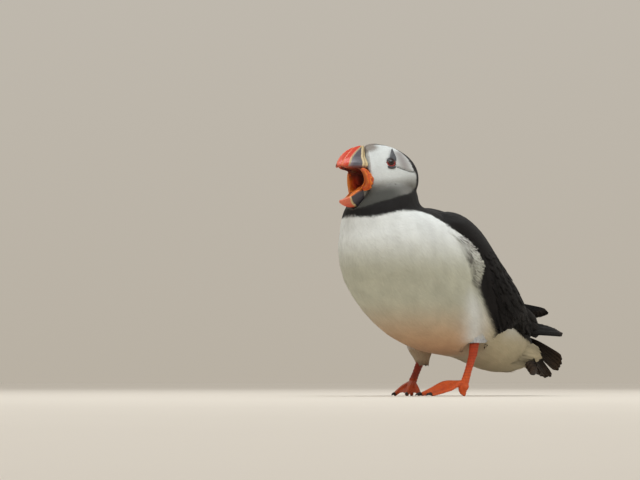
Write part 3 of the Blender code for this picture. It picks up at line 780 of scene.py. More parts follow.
def build_coat(skin):
    """All the small feathers on the skin, in pieces by region. Gives back where they stand."""
    places, normals, uv = scatter(skin, COAT_TRIES, cell_size)
    keep = ~bare_or_hidden(places, normals)
    places, normals, uv = places[keep], normals[keep], uv[keep]
    ways = lie_of(places, normals)
    u, v, z = split(places)
    a, l, t = split(to_head(places))
    size = cell_size(places)
    count = len(places)
    kind = [size < 0.75, size < 0.9, size < 1.0]
    length = np.select(kind, [2.2, 3.2, 5.0], 7.5) * (1 + 0.16 * random.normal(size=count).clip(-2, 2))
    width = np.select(kind, [0.6, 0.72, 1.0], 1.35) * (1 + 0.15 * random.normal(size=count).clip(-2, 2))
    lift = np.select(kind, [0.08, 0.1, 0.18], 0.26)
    lift = lift * (1 + 0.4 * waves(places, 11, 12) + 0.3 * random.normal(size=count))
    brow = brow_share(a, l, t)
    length = np.where(leg_share(places) > 0.5, 4.0, length) + 1.2 * brow
    lift = np.clip(lift, 0.03, 1.0) + 0.5 * brow
    lines, ups = follow(tree_of(skin), places, normals, ways, length)
    strayed = lines + 0.25 * np.moveaxis(random.normal(size=(3, count, 3)), 0, 1)
    tint = plumage_colour(strayed) * varied(count, 0.025, 1, 1)
    on_face = size < 0.9
    pieces = {"crown": on_face & (t > 14)}
    regions = {"face": on_face, "neck": z > 140, "breast": (z > 88) & (u > 0), "flank": z > 60}
    for name, where in {**regions, "belly": u > -45, "rump": u < 0}.items():
        for hand, side in SIDES:
            pieces[f"{name}_{hand}"] = where & ((l if name == "face" else v) * side >= 0)
    rest = np.ones(count, bool)
    for name, where in pieces.items():
        rows = np.nonzero(rest & where)[0]
        rest[rows] = False
        tufts(f"coat_{name}", *(part[rows] for part in (lines, ups, width, lift, tint, uv)))
    return places, normals, uv


# ---- feathers over the coat's edges

SHOULDER_TRIES = 420_000
STRANDS = 520
TAIL_COVERTS = 760
FLANK_LIE, BACK_LIE = np.array((-0.70, 0.0, -0.72)), np.array((-0.84, 0.0, -0.5))
STRAND_LIE = np.array((-0.82, 0.0, -0.55))


def front_of_band(z):
    """How far ahead of the wing's front the band of shoulder feathers begins."""
    return 16 + 2 * step(-z, -112, -98)


def over_edge_cells(spots):
    """The tufts' distance on the band along the wing's front and on the mantle, else 0."""
    u, v, z = split(spots)
    ahead = u - along_line(WING_FRONT, z)
    band = (np.abs(v) > 16) & (z > 50) & (z < 158) & (ahead > -9) & (ahead < front_of_band(z))
    mantle = (u > -48) & (u < 20) & (z > 118) & (black_share(spots) > 0.5)
    return np.where(band | mantle, 1.15, 0.0)


def build_shoulders():
    """Feathers that run on from flank and back over the wings. Gives back where they stand."""
    cover = unwrapped(refined("cover", 1.2, 70, "trunk", "neck", "wing_left", "wing_right", swell=0.5))
    points = points_of(cover.data) + normals_of(cover.data) * 0.0006
    u, v, z = split(to_body(points))
    points[:, 2] -= 0.0034 * near(u, 4, 14) * step(np.abs(v), 8, 20) * step(z, 144, 154)
    put_points(cover.data, points)
    tree = tree_of(cover)
    spots, facing, uv = scatter(cover, SHOULDER_TRIES, over_edge_cells)
    bpy.data.objects.remove(cover)
    u, v, z = split(spots)
    ahead = u - along_line(WING_FRONT, z)
    over_under = z - along_line(WING_UNDER, u)
    on_band = step(ahead, -9, -5) * (np.abs(v) > 16)
    on_mantle = step(u, -48, -22) * step(z, 118, 136)
    keep = random.random(len(spots)) < np.maximum(on_band, on_mantle)
    keep &= (u > -36.5) | (over_under > 1.5)
    spots, facing, uv, ahead, over_under = (rows[keep] for rows in (spots, facing, uv, ahead, over_under))
    u, v, z = split(spots)
    high = step(z, 124, 136)[:, None]
    way = FLANK_LIE * (1 - high) + BACK_LIE * high
    way = unit(way + 0.08 * random.normal(size=spots.shape) + 0.10 * waves(spots, 9, 31)[:, None])
    reach = random.uniform(6.5, 9.0, len(spots)) + 3 * high[:, 0]
    reach = reach * (1 - 0.45 * step(-z, -68, -60) * step(-u, 32, 37))
    lines, ups = follow(tree, spots, facing, way, reach)
    rim = 1 - step(np.minimum(front_of_band(z) - ahead, 20 - u), 0, 12)
    back = (1 - step(u, -48, -26)) * (z > 112)
    lines += ups * (0.1 - 2.0 * rim - 1.0 * back)[:, None, None]
    lines[:, 0] -= ups[:, 0] * 0.5
    jitter = random.normal(size=len(spots))
    over_wing = step(over_under, -1.0, 0.6)
    tint = np.stack([edge_colour(lines[:, k], jitter, over_wing) for k in range(3)], 1)
    tint = tint * varied(len(spots), 0.04, 1, 1)
    width = np.where(z > 136, 1.6, 1.25)
    lift = np.clip(0.2 + 0.08 * random.normal(size=len(spots)), 0.05, 0.5)
    for hand, where in (("left", v > 0), ("right", v <= 0)):
        parts = (rows[where] for rows in (lines, ups, width, lift, tint, uv))
        tufts(f"coat_shoulder_{hand}", *parts)
    return tree, spots, facing, uv


def build_strands(hand, side, tree, spots, facing, uv):
    """Loose grey strands of the flank that end at the wing's edge."""
    u, v, z = split(spots)
    ahead = u - along_line(WING_EDGE, z)
    loose = (v * side > 20) & (ahead > -1) & (ahead < 8) & (z > 97) & (z < 136)
    loose = random.permutation(np.nonzero(loose)[0])[:STRANDS]
    count = len(loose)
    way = unit(STRAND_LIE + 0.16 * random.normal(size=(count, 3)))
    reach = np.clip((ahead[loose] + random.uniform(-1.5, 3.4, count)) / 0.82, 3.0, 11.0)
    lines, ups = follow(tree, spots[loose], facing[loose], way, reach)
    lines[:, 0] -= ups[:, 0] * 0.8
    lines[:, 1:] += ups[:, 1:] * 0.3
    grey = step(random.random(count) + 0.35 * step(-z[loose], -108, -94), 0.25, 1.0) * 0.9
    tint = blend(pale_colour(lines[:, 0]) * 0.96, STRAND_GREY, grey)
    width, lift = random.uniform(0.5, 0.95, count), random.uniform(0.25, 0.65, count)
    tufts(f"coat_strands_{hand}", lines, ups, width, lift, tint, uv[loose])


# By side: the thigh's middle, its lower end over the shank, what widens it, its colour (on the right darker
# and beige, painted shade) and its rim's (darker, painted shade at the lower edge).
TROUSERS = {
    1: ((-23.0, 31.0, 74.0), (-27.1, 27.7, 45.4), 1.0, srgb(206, 209, 212), srgb(158, 158, 164)),
    -1: ((-8.0, 31.0, 65.0), (-10.9, 27.0, 33.0), 0.0, srgb(170, 154, 130), srgb(112, 92, 76)),
}


def build_trousers(hand, side, uv):
    """The feathered end of the thigh, hanging in ragged rings round the top of the shank."""
    hip, cuff, full, shade, rim = TROUSERS[side]
    hip, cuff = np.array(hip) * (1, side, 1), np.array(cuff) * (1, side, 1)

    def at(share, out, lift):
        radii = (4.4, 6.4, 8.4 + full, 10.6 + full, 12.8, 13.6)
        radius = np.interp(share, (-0.2, 0, 0.1, 0.25, 0.6, 1), radii) + lift
        return cuff + (hip - cuff) * share[..., None] + out * radius[..., None]

    rows, columns = 15, 72
    count = rows * columns
    share = np.repeat(np.linspace(0.0, 0.7, rows), columns) + 0.02 * random.normal(size=count)
    turn = random.uniform(0, 2 * math.pi, count)
    out = join(np.cos(turn), np.sin(turn), 0.0)
    reach = 0.19 * random.uniform(0.75, 1.2, count)
    sink = step(share, 0.2, 0.45)
    depths = (3.2, 1.3, 0.1)
    lines = [at(share - reach * k / 2, out, 0.15 + 0.22 * k - depths[k] * sink) for k in range(3)]
    lines = np.stack(lines, 1)
    ups = np.repeat(unit(out + np.array((0, 0, 0.1)))[:, None], 3, 1)
    if side > 0:
        skirt = share < 0.22
        wide = 10.0 + 4.6 * np.abs(out[:, 0])
        for k, (drop, close) in enumerate(((6.0, 0.0), (3.0, 0.45), (-0.2, 1.0))):
            ring = cuff + out * (wide + (9.0 - wide) * close)[:, None] + np.array((0, 0, drop))
            lines[skirt, k] = ring[skirt]
    tint = painted(
        shade * varied(count, 0.03, 1),
        # painted shade: the rings darker at their lower edge
        (rim, (1 - step(share, 0.0, 0.12)) * 0.6),
        (plumage_colour(lines[:, 0]), step(share, 0.2, 0.5)),
    )
    tufts(f"coat_trousers_{hand}", lines, ups, 2.1, 0.12, tint, uv[:count])


def build_tail_coverts(hand, side, uv):
    """The longest coverts under the tail, in a soft pale bunch over the roots of its feathers."""
    count = TAIL_COVERTS
    share, turn = random.random(count), random.uniform(-1, 1, count)
    low = step(-turn, 0, 1)
    short = 1.0 if side > 0 else 0.6
    root = join(-76 - 16 * share + 6 * low, 27 - 9 * share - 5 * low, 36.5 + turn * 9.0)
    tip = join(-96 + 10 * low, 23 - 3 * low, 34.5 + turn * 7.5) - share[:, None] * (15 * short, 8, 1.5)
    tip[:, 0] += 4.0 * turn**2 + 0.8 * random.normal(size=count)
    inner = np.where(random.random(count) < 0.4, random.random(count), 0.0) * (1 - low)
    root[:, 1] -= 8 * inner
    tip -= inner[:, None] * (2, 15, 2)
    middle = (root + tip) / 2 + join(-0.6, 2.6, turn * 1.2)
    lines = np.stack([root, middle, tip], 1) * (1, side, 1)
    ups = np.repeat(unit(join(-0.35, 0.85 * side, turn * 0.45))[:, None], 3, 1)
    tint = pale_colour(lines) * varied(count, 0.04, 1, 1)
    tufts(f"coat_tail_coverts_{hand}", lines, ups, 2.6, 0.1, tint, uv[:count])


def build_undertail(places, normals, uv):
    """Feathers of the rump that reach back under the tail, standing free of the body."""
    u, v, z = split(places)
    chosen = random.random(len(places)) < 0.75 * step(-u, 70, 96)
    under = np.nonzero(chosen & (z < 56) & (np.abs(v) < 30) & (black_share(places) < 0.3))[0]
    count = len(under)
    way = unit(join(-0.88, -0.015 * v[under], -0.30))
    way = way + 0.05 * random.normal(size=way.shape)
    way = unit(way - normals[under] * np.sum(way * normals[under], -1, keepdims=True) * 0.85)
    reach = 6 + 5 * random.random(count)
    halves = (way * reach[:, None] / 2)[:, None] * np.arange(3)[:, None]
    lines = (places[under] - normals[under] * 0.2)[:, None] + halves
    under_tail = TAIL_ROOT[2] - math.tan(TAIL_DROP) * (TAIL_ROOT[0] - lines[:, 2, 0]) - 2
    clear = (lines[:, 2, 2] < under_tail) | (np.abs(lines[:, 2, 1]) > 20)
    lines, under = lines[clear], under[clear]
    ups, tint = (np.repeat(rows[:, None], 3, 1) for rows in (normals[under], plumage_colour(places[under])))
    tufts("coat_undertail", lines, ups, 1.5, 0.12, tint, uv[under])


# ---- long feathers

ACROSS = 5  # points from edge to edge of a vane
VANE_LENGTH = 30  # millimetres of a feather to one length of the barbs' pattern
INNER_BLACK = srgb(22, 18, 17)
FLIGHT_BLACK = srgb(15, 12, 11)
FLIGHT_WORN = srgb(58, 48, 42)
TAIL_BROWN = srgb(44, 36, 31)
TAIL_WORN = srgb(84, 66, 50)
COVERT_BLACK = srgb(21, 19, 19)
COVERT_SHEEN = srgb(40, 44, 54)
COVERT_BROWN = srgb(48, 42, 38)
# painted highlight: a narrow pale violet-grey streak on the lower wing
STREAK_HIGHLIGHT = srgb(112, 106, 116)


def blades(name, spines, ups, widths, thick, dome, tint):
    """Closed feather blades as one piece. spines and ups are (n, rows, 3), widths (n, rows, 2) to
    the left and right, and tint spreads over (n, upper and lower face, rows, ACROSS, 3)."""
    count, rows = spines.shape[:2]
    sides = np.cross(ups, unit(np.gradient(spines, axis=1)))
    share = np.linspace(-1, 1, ACROSS)
    reach = np.where(share < 0, widths[:, :, :1] * share, widths[:, :, 1:] * share)
    bow = dome * (1 - np.abs(share) ** 1.6)
    top = spines[:, :, None] + sides[:, :, None] * reach[..., None] + ups[:, :, None] * bow[:, None]
    low = top - ups[:, :, None] * (thick * (1 - np.abs(share) ** 4))[:, None]
    over = np.arange(rows * ACROSS).reshape(rows, ACROSS)
    under = over + rows * ACROSS
    for edge in (0, -1):
        under[edge], under[:, edge] = over[edge], over[:, edge]
    quads = np.concatenate([
        join(over[:-1, :-1], over[1:, :-1], over[1:, 1:], over[:-1, 1:]),
        join(under[:-1, :-1], under[:-1, 1:], under[1:, 1:], under[1:, :-1]),
    ]).reshape(-1, 4)
    used, quads = np.unique(quads, return_inverse=True)
    faces = (quads.reshape(-1, 4) + (np.arange(count) * len(used))[:, None, None]).reshape(-1, 4)
    points = np.stack([top, low], 1).reshape(count, -1, 3)[:, used]
    obj = new_mesh(name, from_body(points.reshape(-1, 3)), faces)
    uv = join(*np.meshgrid(share, np.linspace(0, 1, rows))).reshape(-1, 2)
    uv = np.tile(uv, (2, 1))[used]
    lengths = np.linalg.norm(spines[:, -1] - spines[:, 0], axis=-1) / VANE_LENGTH
    vane = uv * join(1.0, lengths)[:, None]
    side = math.ceil(math.sqrt(count))
    cells = join(np.arange(count) % side, np.arange(count) // side)
    patch = (uv * (0.45, 0.9) + (0.5, 0.05) + cells[:, None]) / side
    put_uv(obj.data, "vane", vane.reshape(-1, 2)[faces.ravel()])
    put_uv(obj.data, "OFBake", patch.reshape(-1, 2)[faces.ravel()])
    tint = np.broadcast_to(tint, (count, 2, rows, ACROSS, 3)).reshape(count, -1, 3)[:, used]
    put_tint(obj.data, tint.reshape(-1, 3))
    return obj


def spine_between(start, end, bow, rows):
    """Points from start to end, pushed out by bow halfway."""
    s = np.linspace(0, 1, rows)[:, None]
    return start + (np.asarray(end) - start) * s + np.asarray(bow) * np.sin(math.pi * s)


def half_width(rows, wide, quill, full, round_end):
    """Half a long feather's width, from a share of it at the quill, full further on, to a round end."""
    s = np.linspace(0, 1, rows)
    end = np.sqrt(np.clip(1 - ((s - round_end) / (1.002 - round_end)).clip(0) ** 2, 0.01, 1))
    half = wide * (quill + (1 - quill) * step(s, 0, full)) * end
    return join(half, half)


def build_bundle(name, feathers, thick, dome, colour, replaced=(), worn=None):
    """Long feathers as one piece, each one (spine, the way its upper face looks, half widths). worn
    is the colour of their ends, the share along where it begins and how strong it gets."""
    spines, facing, widths = (np.array(part) for part in zip(*feathers))
    ups = square_to(facing[:, None], unit(np.gradient(spines, axis=1)))
    tint = (colour * varied(len(spines), 0.15, 1))[:, None, None, None]
    if worn:
        shade, begin, strong = worn
        at = step(np.linspace(0, 1, spines.shape[1]), begin, 1.0)
        tint = blend(tint, shade, at[:, None] * strong)
    dress(blades(name, spines, ups, widths, thick, dome, tint), VANE, "feathers_black", *replaced)


def build_inner_flight(hand, side):
    """The shorter flight feathers between the body of the folded wing and its long tip."""
    rows = 12
    feathers = []
    for k in range(9):
        share = k / 8
        start = np.array((-64.0 + 5.0 * share, 36.0 - 1.5 * share, 79.0 - 19.0 * share)) * (1, side, 1)
        end = np.array((-95.5 - 1.5 * math.sin(math.pi * share), 27.5, 63.5 - 11.0 * share)) * (1, side, 1)
        end = end + random.normal(size=3) * 0.4
        spine = spine_between(start, end, (0.0, 2.2 * side, 0.6), rows)
        spine[:, 1] += side * 0.12 * (k % 3)
        feathers.append((spine, (-0.42, 0.9 * side, 0.12), half_width(rows, 3.6, 0.7, 0.4, 0.82)))
    build_bundle(f"inner_{hand}_feathers", feathers, 0.4, 0.5, INNER_BLACK)


# How far each long wing feather's tip falls short of the longest one's.
FLIGHT_SHORTS = (0.8, 2.2, 4.6, 8.0, 12.0, 17.5, 24.0)


def build_flight(hand, side, root, tip, longest):
    """The bundled tips of the long wing feathers past the rump; longest is 1 where that is on top."""
    root, tip = np.array(root, float) * (1, side, 1), np.array(tip, float) * (1, side, 1)
    run = unit(tip - root)
    out = np.array((0.0, side, 0.3))
    out = unit(out - run * (out @ run))
    high = np.cross(run, out)
    high = high * math.copysign(1, high[2])
    rows = 20
    narrow = (0.8, 1.0) if longest * side > 0 else (1.0, 0.8)
    widths = half_width(rows, 4.1, 0.85, 0.3, 0.9) * narrow
    feathers = []
    for k, short in enumerate(FLIGHT_SHORTS):
        offset = longest * (3.2 - 1.1 * k)
        start = root + high * offset + out * (1.0 - 0.45 * k)
        back = run * (short + random.uniform(-0.5, 0.5))
        end = tip - back + high * offset * 0.8 + out * (0.4 - 0.4 * k)
        spine = spine_between(start, end, out * 3.0 + high * longest * 0.6, rows)
        feathers.append((spine, out + high * 0.12 * (k - 3) * longest, widths))
    name, worn = f"flight_{hand}", (FLIGHT_WORN, 0.86, 0.5)
    build_bundle(f"{name}_feathers", feathers, 0.45, 0.7, FLIGHT_BLACK, (name,), worn)


TAIL_ROOT = np.array((-94.0, 0.0, 56.0))
TAIL_DROP = math.radians(49)
TAIL_FAN = (-34, -29.5, -25, -14, -9, -4, 1, 6, 22, 26.5, 31, 35.5)  # degrees from the middle


def build_tail():
    """Tail feathers fanned in three groups and hanging, the left ones turned in under the coverts."""
    back = np.array((-math.cos(TAIL_DROP), 0, -math.sin(TAIL_DROP)))
    above = np.array((-math.sin(TAIL_DROP), 0, math.cos(TAIL_DROP)))
    rows = 16
    feathers = []
    for k, fan in enumerate(TAIL_FAN):
        q = fan / 36
        full = 54 - 8 * q * q + random.normal() * 0.8
        angle = math.radians(fan)
        run = unit(back * math.cos(angle) + np.array((0, math.sin(angle), 0)))
        layer = above * (1.2 - 0.22 * k if k > 5 else -0.1 + 0.22 * k)
        end = TAIL_ROOT + run * full + above * 7 * q * q + layer * 0.5
        spine = spine_between(TAIL_ROOT + run * 3 + layer, end, above * 0.8, rows)
        tilt = above - np.array((0, 0.4 * q, 0))
        feathers.append((spine, tilt, half_width(rows, 5.0, 0.55, 0.5, 0.88)))
    for k in range(3):
        start = TAIL_ROOT + (-8.0, 8.0, -15.0 - k)
        end = (-76.0 - 3.0 * k, 35.0 - k, 28.0 - 2.4 * k)
        spine = spine_between(start, end, (-5.0, 4.0, -7.5), rows)
        feathers.append((spine, (-0.3, 1.0, -0.35), half_width(rows, 4.2, 0.7, 0.5, 0.84)))
    worn = (TAIL_WORN, 0.6, 0.4)
    build_bundle("tail_feathers", feathers, 0.5, 0.6, TAIL_BROWN, ("tail",), worn)


# ---- folded wings

# From shoulder to tip, (forward, up) of the wing's back edge and of its front edge.
WING_ROWS = np.array((
    (7, 156.5, 10, 153.5), (0, 158, 10, 148), (-12, 154, 5, 142), (-25, 147, -7, 129),
    (-37, 138, -15, 116), (-49, 126, -19, 99), (-60, 113, -22, 85), (-69, 99, -29, 69),
    (-77, 86, -38, 53), (-83, 77, -50, 60), (-89, 67, -64, 59), (-93, 60, -79, 51),
))
WING_LENGTH = 165
COVERT_ROWS = 9  # points along a covert
COVERT_STEPS = 14  # from a covert's root to its tip when it is laid along the wing
BESIDE = 85  # from the middle to clear of the wings


def wing_place(p, q):
    """(forward, up) at shares p from shoulder to tip and q from the back edge to the front edge."""
    row = along_rows(WING_ROWS, np.clip(p, 0, 1) * (len(WING_ROWS) - 1))
    return row[:2] + (row[2:] - row[:2]) * q


def wing_way(p, q):
    """(forward, up) direction in which the wing's feathers lie at those shares."""
    top = unit(np.diff(WING_ROWS[:9, :2], axis=0))
    low = unit(np.diff(WING_ROWS[1:9, 2:], axis=0))
    low = np.concatenate([low[:1], low])
    low[1:-1] = unit(low[:-2] + low[1:-1] + low[2:])
    at = np.clip(p * (len(WING_ROWS) - 1) - 0.5, 0, len(top) - 1)
    return unit(along_rows(top, at) * (1 - q) + along_rows(low, at) * q)


def wing_tuck(places):
    """How far the wing's surface sinks under the flank and mantle feathers over its front edge."""
    u, _, z = split(places)
    ahead = u - along_line(WING_FRONT, z)
    tuck = 2.2 * step(ahead, -9, 0) * step(z, 80, 96) + 1.2 * step(ahead, -5, 0)
    return np.maximum(tuck, 3.2 * step(u, -30, -8))


def covert_roots():
    """The roots of a wing's feathers from tip to shoulder, as (p, q, length, width)."""
    roots = []
    p = 0.80
    while p > -0.03:
        share = max(p, 0)
        length, width = 8.5 + 38 * share**1.6, 5.4 + 4.2 * share
        span = np.linalg.norm(wing_place(p, 0.0) - wing_place(p, 1.0))
        number = max(int(span / (width * 0.55)), 2)
        stagger = random.uniform(0, 1)
        for k in range(number + 1):
            q = (k + stagger) / (number + 1)
            at = p + random.normal() * 0.008
            roots.append((at, q, length * random.uniform(0.88, 1.12), width * random.uniform(0.9, 1.12)))
        p -= length * 0.24 / WING_LENGTH
    roots = np.array(roots)
    return roots[np.argsort(-roots[:, 0])]


def covert_line(tree, side, p, q, length):
    """One wing feather's spine on the wing's solid and the normals there, or None off its edges."""
    spot = wing_place(p, q)
    track, normals, inside = [], [], 0
    drift = random.normal() * 0.045
    for k in range(COVERT_STEPS + 1):
        beside = Vector(from_body((spot[0], side * BESIDE, spot[1])))
        found, facing, _, _ = tree.ray_cast(beside, Vector((-side, 0, 0)))
        if found is not None:
            track.append(to_body(np.array(found)))
            normals.append(body_ways(np.array(facing)))
            inside = k
        elif track:
            ahead = track[-1] * 2 - track[-2] if len(track) > 1 else track[-1]
            track.append(np.array((spot[0], ahead[1], spot[1])))
            normals.append(normals[-1])
        else:
            return None
        way = wing_way(p + length * k / COVERT_STEPS / WING_LENGTH, q)
        way = way + drift * np.array((-way[1], way[0]))
        spot = spot + way * length / COVERT_STEPS
    if track[0][0] > -13:
        return None
    end = min(COVERT_STEPS, inside + random.uniform(0.2, 1.4) * COVERT_STEPS / length * 1.6)
    if end * length / COVERT_STEPS < 6:
        return None
    at = np.linspace(0, end, COVERT_ROWS)
    facing = unit(along_rows(normals, at))
    return along_rows(track, at), unit(facing + facing.mean(0))


def build_wing(hand, side):
    """A folded wing: rows of coverts over tertials and secondaries, on a core that fills it."""
    solid = f"wing_{hand}"
    core = refined(f"{solid}_core", 0.9, 6, solid)
    places = body_places(core.data)
    sunk = 1.0 + 3.0 * step(-places[:, 2], -78, -58) + wing_tuck(places)
    shrunk = to_body(pushed(core.data, -sunk))
    shrunk -= np.array((3.0, 9.0 * side, 6.0)) * step(places[:, 0], -22, -4)[:, None]
    put_points(core.data, from_body(shrunk))
    put_tint(core.data, BLACK * 0.7)
    dress(core, PLUMAGE, "feathers_black", solid)

    tree = solid_tree(solid)
    feathers = []
    for p, q, length, width in covert_roots():
        laid = covert_line(tree, side, p, q, length)
        if laid:
            feathers.append((p, width, *laid))
    p, width, lines, ups = (np.array(part) for part in zip(*feathers))
    smooth = lines.copy()
    smooth[:, 1:-1] = (lines[:, :-2] + lines[:, 1:-1] * 2 + lines[:, 2:]) / 4
    s = np.linspace(0, 1, COVERT_ROWS)
    lines = smooth + ups * (s - 0.75 - wing_tuck(smooth))[..., None]
    ups = square_to(ups, unit(np.gradient(lines, axis=1)))
    round_end = np.sqrt(np.clip(1 - ((s - 0.62) / 0.385).clip(0) ** 2.2, 0.0, 1))
    half = np.clip((0.25 + 0.75 * step(s, 0, 0.35)) * round_end, 0.04, 1) * width[:, None] * 0.5
    count = len(lines)
    tint = COVERT_BLACK * varied(count, 0.16, 1).clip(0.6, 1.5)
    sheen = (1 - step(p, 0.15, 0.45)) * (0.2 + 0.3 * random.random(count)) * 0.6
    brown = np.clip(random.normal(size=count) * 0.12, 0, 0.4)
    tint = painted(tint, (COVERT_SHEEN, sheen), (COVERT_BROWN, brown))
    u, _, z = split(lines)
    # painted highlight along a narrow streak low on the wing
    highlight_streak = near(u, np.interp(z, (58, 72.6, 92), (-37.5, -30.5, -24.5)), 1.7)
    highlight_streak = (highlight_streak * step(z, 60, 66) * step(-z, -92, -82) * 0.75)[:, None, :, None]
    tint = blend(tint[:, None, None, None], STREAK_HIGHLIGHT, highlight_streak)
    vanes = blades(f"{solid}_feathers", lines, ups, join(half, half), 0.28, 0.4, tint)
    dress(vanes, VANE, "feathers_black")


# ---- bill and mouth

SLATE = srgb(88, 84, 92)
SLATE_EDGE = srgb(150, 128, 132)
CREAM_HORN = srgb(224, 200, 150)
RED_HORN = srgb(214, 62, 30)
PINK_HORN = srgb(214, 110, 80)
PALE_GROOVE = srgb(240, 140, 90)
DARK_TIP = srgb(70, 46, 40)
CERE_LINE = srgb(110, 98, 86)
# painted shade along the upper bill's lower edge
LOWER_EDGE_SHADE = srgb(110, 46, 36)
# painted shade under the upper bill, lighter towards the open front
PALATE_SHADE = srgb(110, 34, 24)
PALATE_TIP = srgb(190, 84, 50)
GREY_RIM = srgb(130, 128, 120)
TROUGH = srgb(232, 120, 24)
TROUGH_TIP = srgb(220, 120, 90)
TONGUE, TONGUE_GROOVE = srgb(150, 46, 28), srgb(90, 26, 20)
# painted shade in the mouth: redder and darker deeper in, darkest in the gullet and under the roof
LINING, DEEP_LINING_SHADE = srgb(240, 128, 30), srgb(206, 62, 18)
GULLET_SHADE, ROOF_SHADE = srgb(96, 24, 12), srgb(84, 30, 22)
# painted highlight on the petal's fold crests, painted shade in its creases and on its front, painted light
# on the right petal's front
PETAL, PETAL_FOLD_HIGHLIGHT, PETAL_CREASE_SHADE = srgb(226, 92, 18), srgb(244, 146, 36), srgb(170, 52, 14)
PETAL_SHADE, PETAL_LIGHT = srgb(140, 34, 12), srgb(240, 156, 54)

# From the upper bill down to the lower one, the petal's middle line (ahead, left, up) and radius.
GAPE_PATH = (
    (36.5, 9.2, 2.4, 1.7), (34.6, 11.4, -0.4, 2.8), (33.2, 12.8, -5.2, 3.5),
    (32.6, 13.0, -9.8, 3.6), (34.0, 11.8, -13.0, 3.0), (36.5, 9.4, -15.0, 1.7),
)
# The left half of the mouth's rim from the middle of the upper bill to that of the lower one.
MOUTH_LOOP = (
    (46.0, 0.0, 6.0), (42.0, 5.6, 5.2), (37.5, 9.0, 2.6), (36.0, 10.6, -2.5), (35.4, 11.0, -7.5),
    (37.4, 9.6, -12.4), (39.0, 6.2, -16.4), (44.6, 4.4, -20.2), (48.6, 0.0, -23.2),
)
THROAT = np.array((15.0, 0.0, -4.5))


def build_upper_bill():
    """The upper bill: slate plate, cream bands, grooved red tip with painted sheen low on it, and a dark
    palate and lower edge of painted shade.
    """
    obj = refined("bill_upper_horn", 0.3, 4, "bill_upper")
    mesh = obj.data
    places = head_places(mesh)
    a, l, t = split(places)
    inside = step(-head_facing(mesh)[:, 2], 0.25, 0.6) * step(-t, -12, -10)
    drop = step(9.5 - t, 0, 4) * step(np.abs(l), 1.2, 3.6) * step(-a, -54, -49) * step(a, 27, 33)
    places[:, 2] -= 1.9 * drop  # and t with it
    base = 29.2 + (22 - t) * 0.38
    past = a - (46.3 - 11.5 * (np.clip(t - 4, 0, None) / 15) ** 1.6)
    groove = near(past, 6.6, 0.42) + 0.8 * near(past, 10.6, 0.4)
    groove = groove + 1.2 * near(past, 0.1, 0.35) + 1.3 * near(a, base, 0.3)
    ridge = near(past, 1.1, 0.7) * 0.6 + near(a, base - 1.5, 0.9) * 0.7
    depth = (-0.28 * groove + 0.3 * ridge) * step(np.abs(l), 0.3, 1.2) * (1 - inside)
    put_points(mesh, pushed(mesh, depth, from_body(from_head(places))))
    cere = 1 - step(a, base - 0.25, base + 0.15)
    put_tint(mesh, painted(
        SLATE,
        (SLATE_EDGE, near(past, -0.6, 1.6) * step(-t, -13, -6) * 0.6),
        (CREAM_HORN * 0.75, step(past, -0.3, 0.2) * (0.45 + 0.55 * step(t, 5, 10))),
        (RED_HORN, step(past, 1.0, 1.8)),
        # partly worn horn, partly painted sheen: pinker low on the red tip
        (PINK_HORN, step(past, 2.0, 6) * step(-t, -14, -5) * 0.6),
        (PALE_GROOVE, (near(past, 6.6, 0.4) + 0.6 * near(past, 10.6, 0.35)) * 0.8),
        (DARK_TIP, step(a, 55.0, 56.2) * 0.85),
        (CREAM_HORN * 0.8, cere),
        (CERE_LINE, near(a, base - 2.4, 0.4) * cere * 0.8),
        # painted shade: a dark red band along the lower edge, over the mouth
        (LOWER_EDGE_SHADE, step(-t, -6.6, -4.6) * step(past, -40, -8) * 0.75),
        # painted shade: the palate darkened, less towards the tip
        (blend(PALATE_SHADE * 0.6, PALATE_TIP, step(a, 40, 52)), inside),
    ))
    dress(obj, HORN, "horn_red", "bill_upper")


def build_lower_bill():
    """The lower bill, with its slate plate, cream rim, pink tip and orange trough."""
    obj = refined("bill_lower_horn", 0.3, 4, "bill_lower")
    mesh = obj.data
    shut = jaw_turned(head_places(mesh), GAPE_ANGLE)
    a, l, t = split(shut)
    ahead, _, up = split(head_facing(mesh))
    inside = step(ahead * math.sin(GAPE_ANGLE) + up * math.cos(GAPE_ANGLE), 0.3, 0.65) * step(t, -2, 1)
    shut[:, 2] += 1.9 * step(t, 1.5, 6) * near(a, 44.5, 6) * step(np.abs(l), 1.5, 3.5)  # and t with it
    past = a - np.interp(t, (-7, -5, -3.1, -1, 1.3, 4, 6.4), (46.5, 48.6, 50.6, 52.4, 53.2, 53.0, 52.4))
    base = 40.9 - 0.16 * (t - 4)
    groove = near(past, 0.1, 0.35) + near(past, 5.0, 0.35) + near(a, base, 0.3)
    ridge = near(past, 1.1, 0.7) * 0.6
    depth = (-0.25 * groove + 0.25 * ridge) * step(np.abs(l), 0.3, 1.2) * (1 - inside)
    put_points(mesh, pushed(mesh, depth, from_body(from_head(jaw_turned(shut, -GAPE_ANGLE)))))
    put_tint(mesh, painted(
        SLATE * 0.6,
        (CREAM_HORN * 0.8, step(past, -0.4, 0.1)),
        (PINK_HORN, step(past, 1.0, 1.7)),
        (RED_HORN, step(past, 1.5, 5) * step(-t, -4, 2) * 0.6),
        (GREY_RIM, 1 - step(a, base - 0.2, base + 0.2)),
        (blend(TROUGH, TROUGH_TIP, step(a, 52, 58)), inside),
    ))
    dress(obj, HORN, "horn_red", "bill_lower")


def build_tongue():
    obj = refined("tongue_flesh", 0.4, 3, "tongue")
    l = head_places(obj.data)[:, 1]
    put_tint(obj.data, blend(TONGUE, TONGUE_GROOVE, near(l, 0, 0.8)))
    dress(obj, FOLD_SKIN, "mouth_red", "tongue")


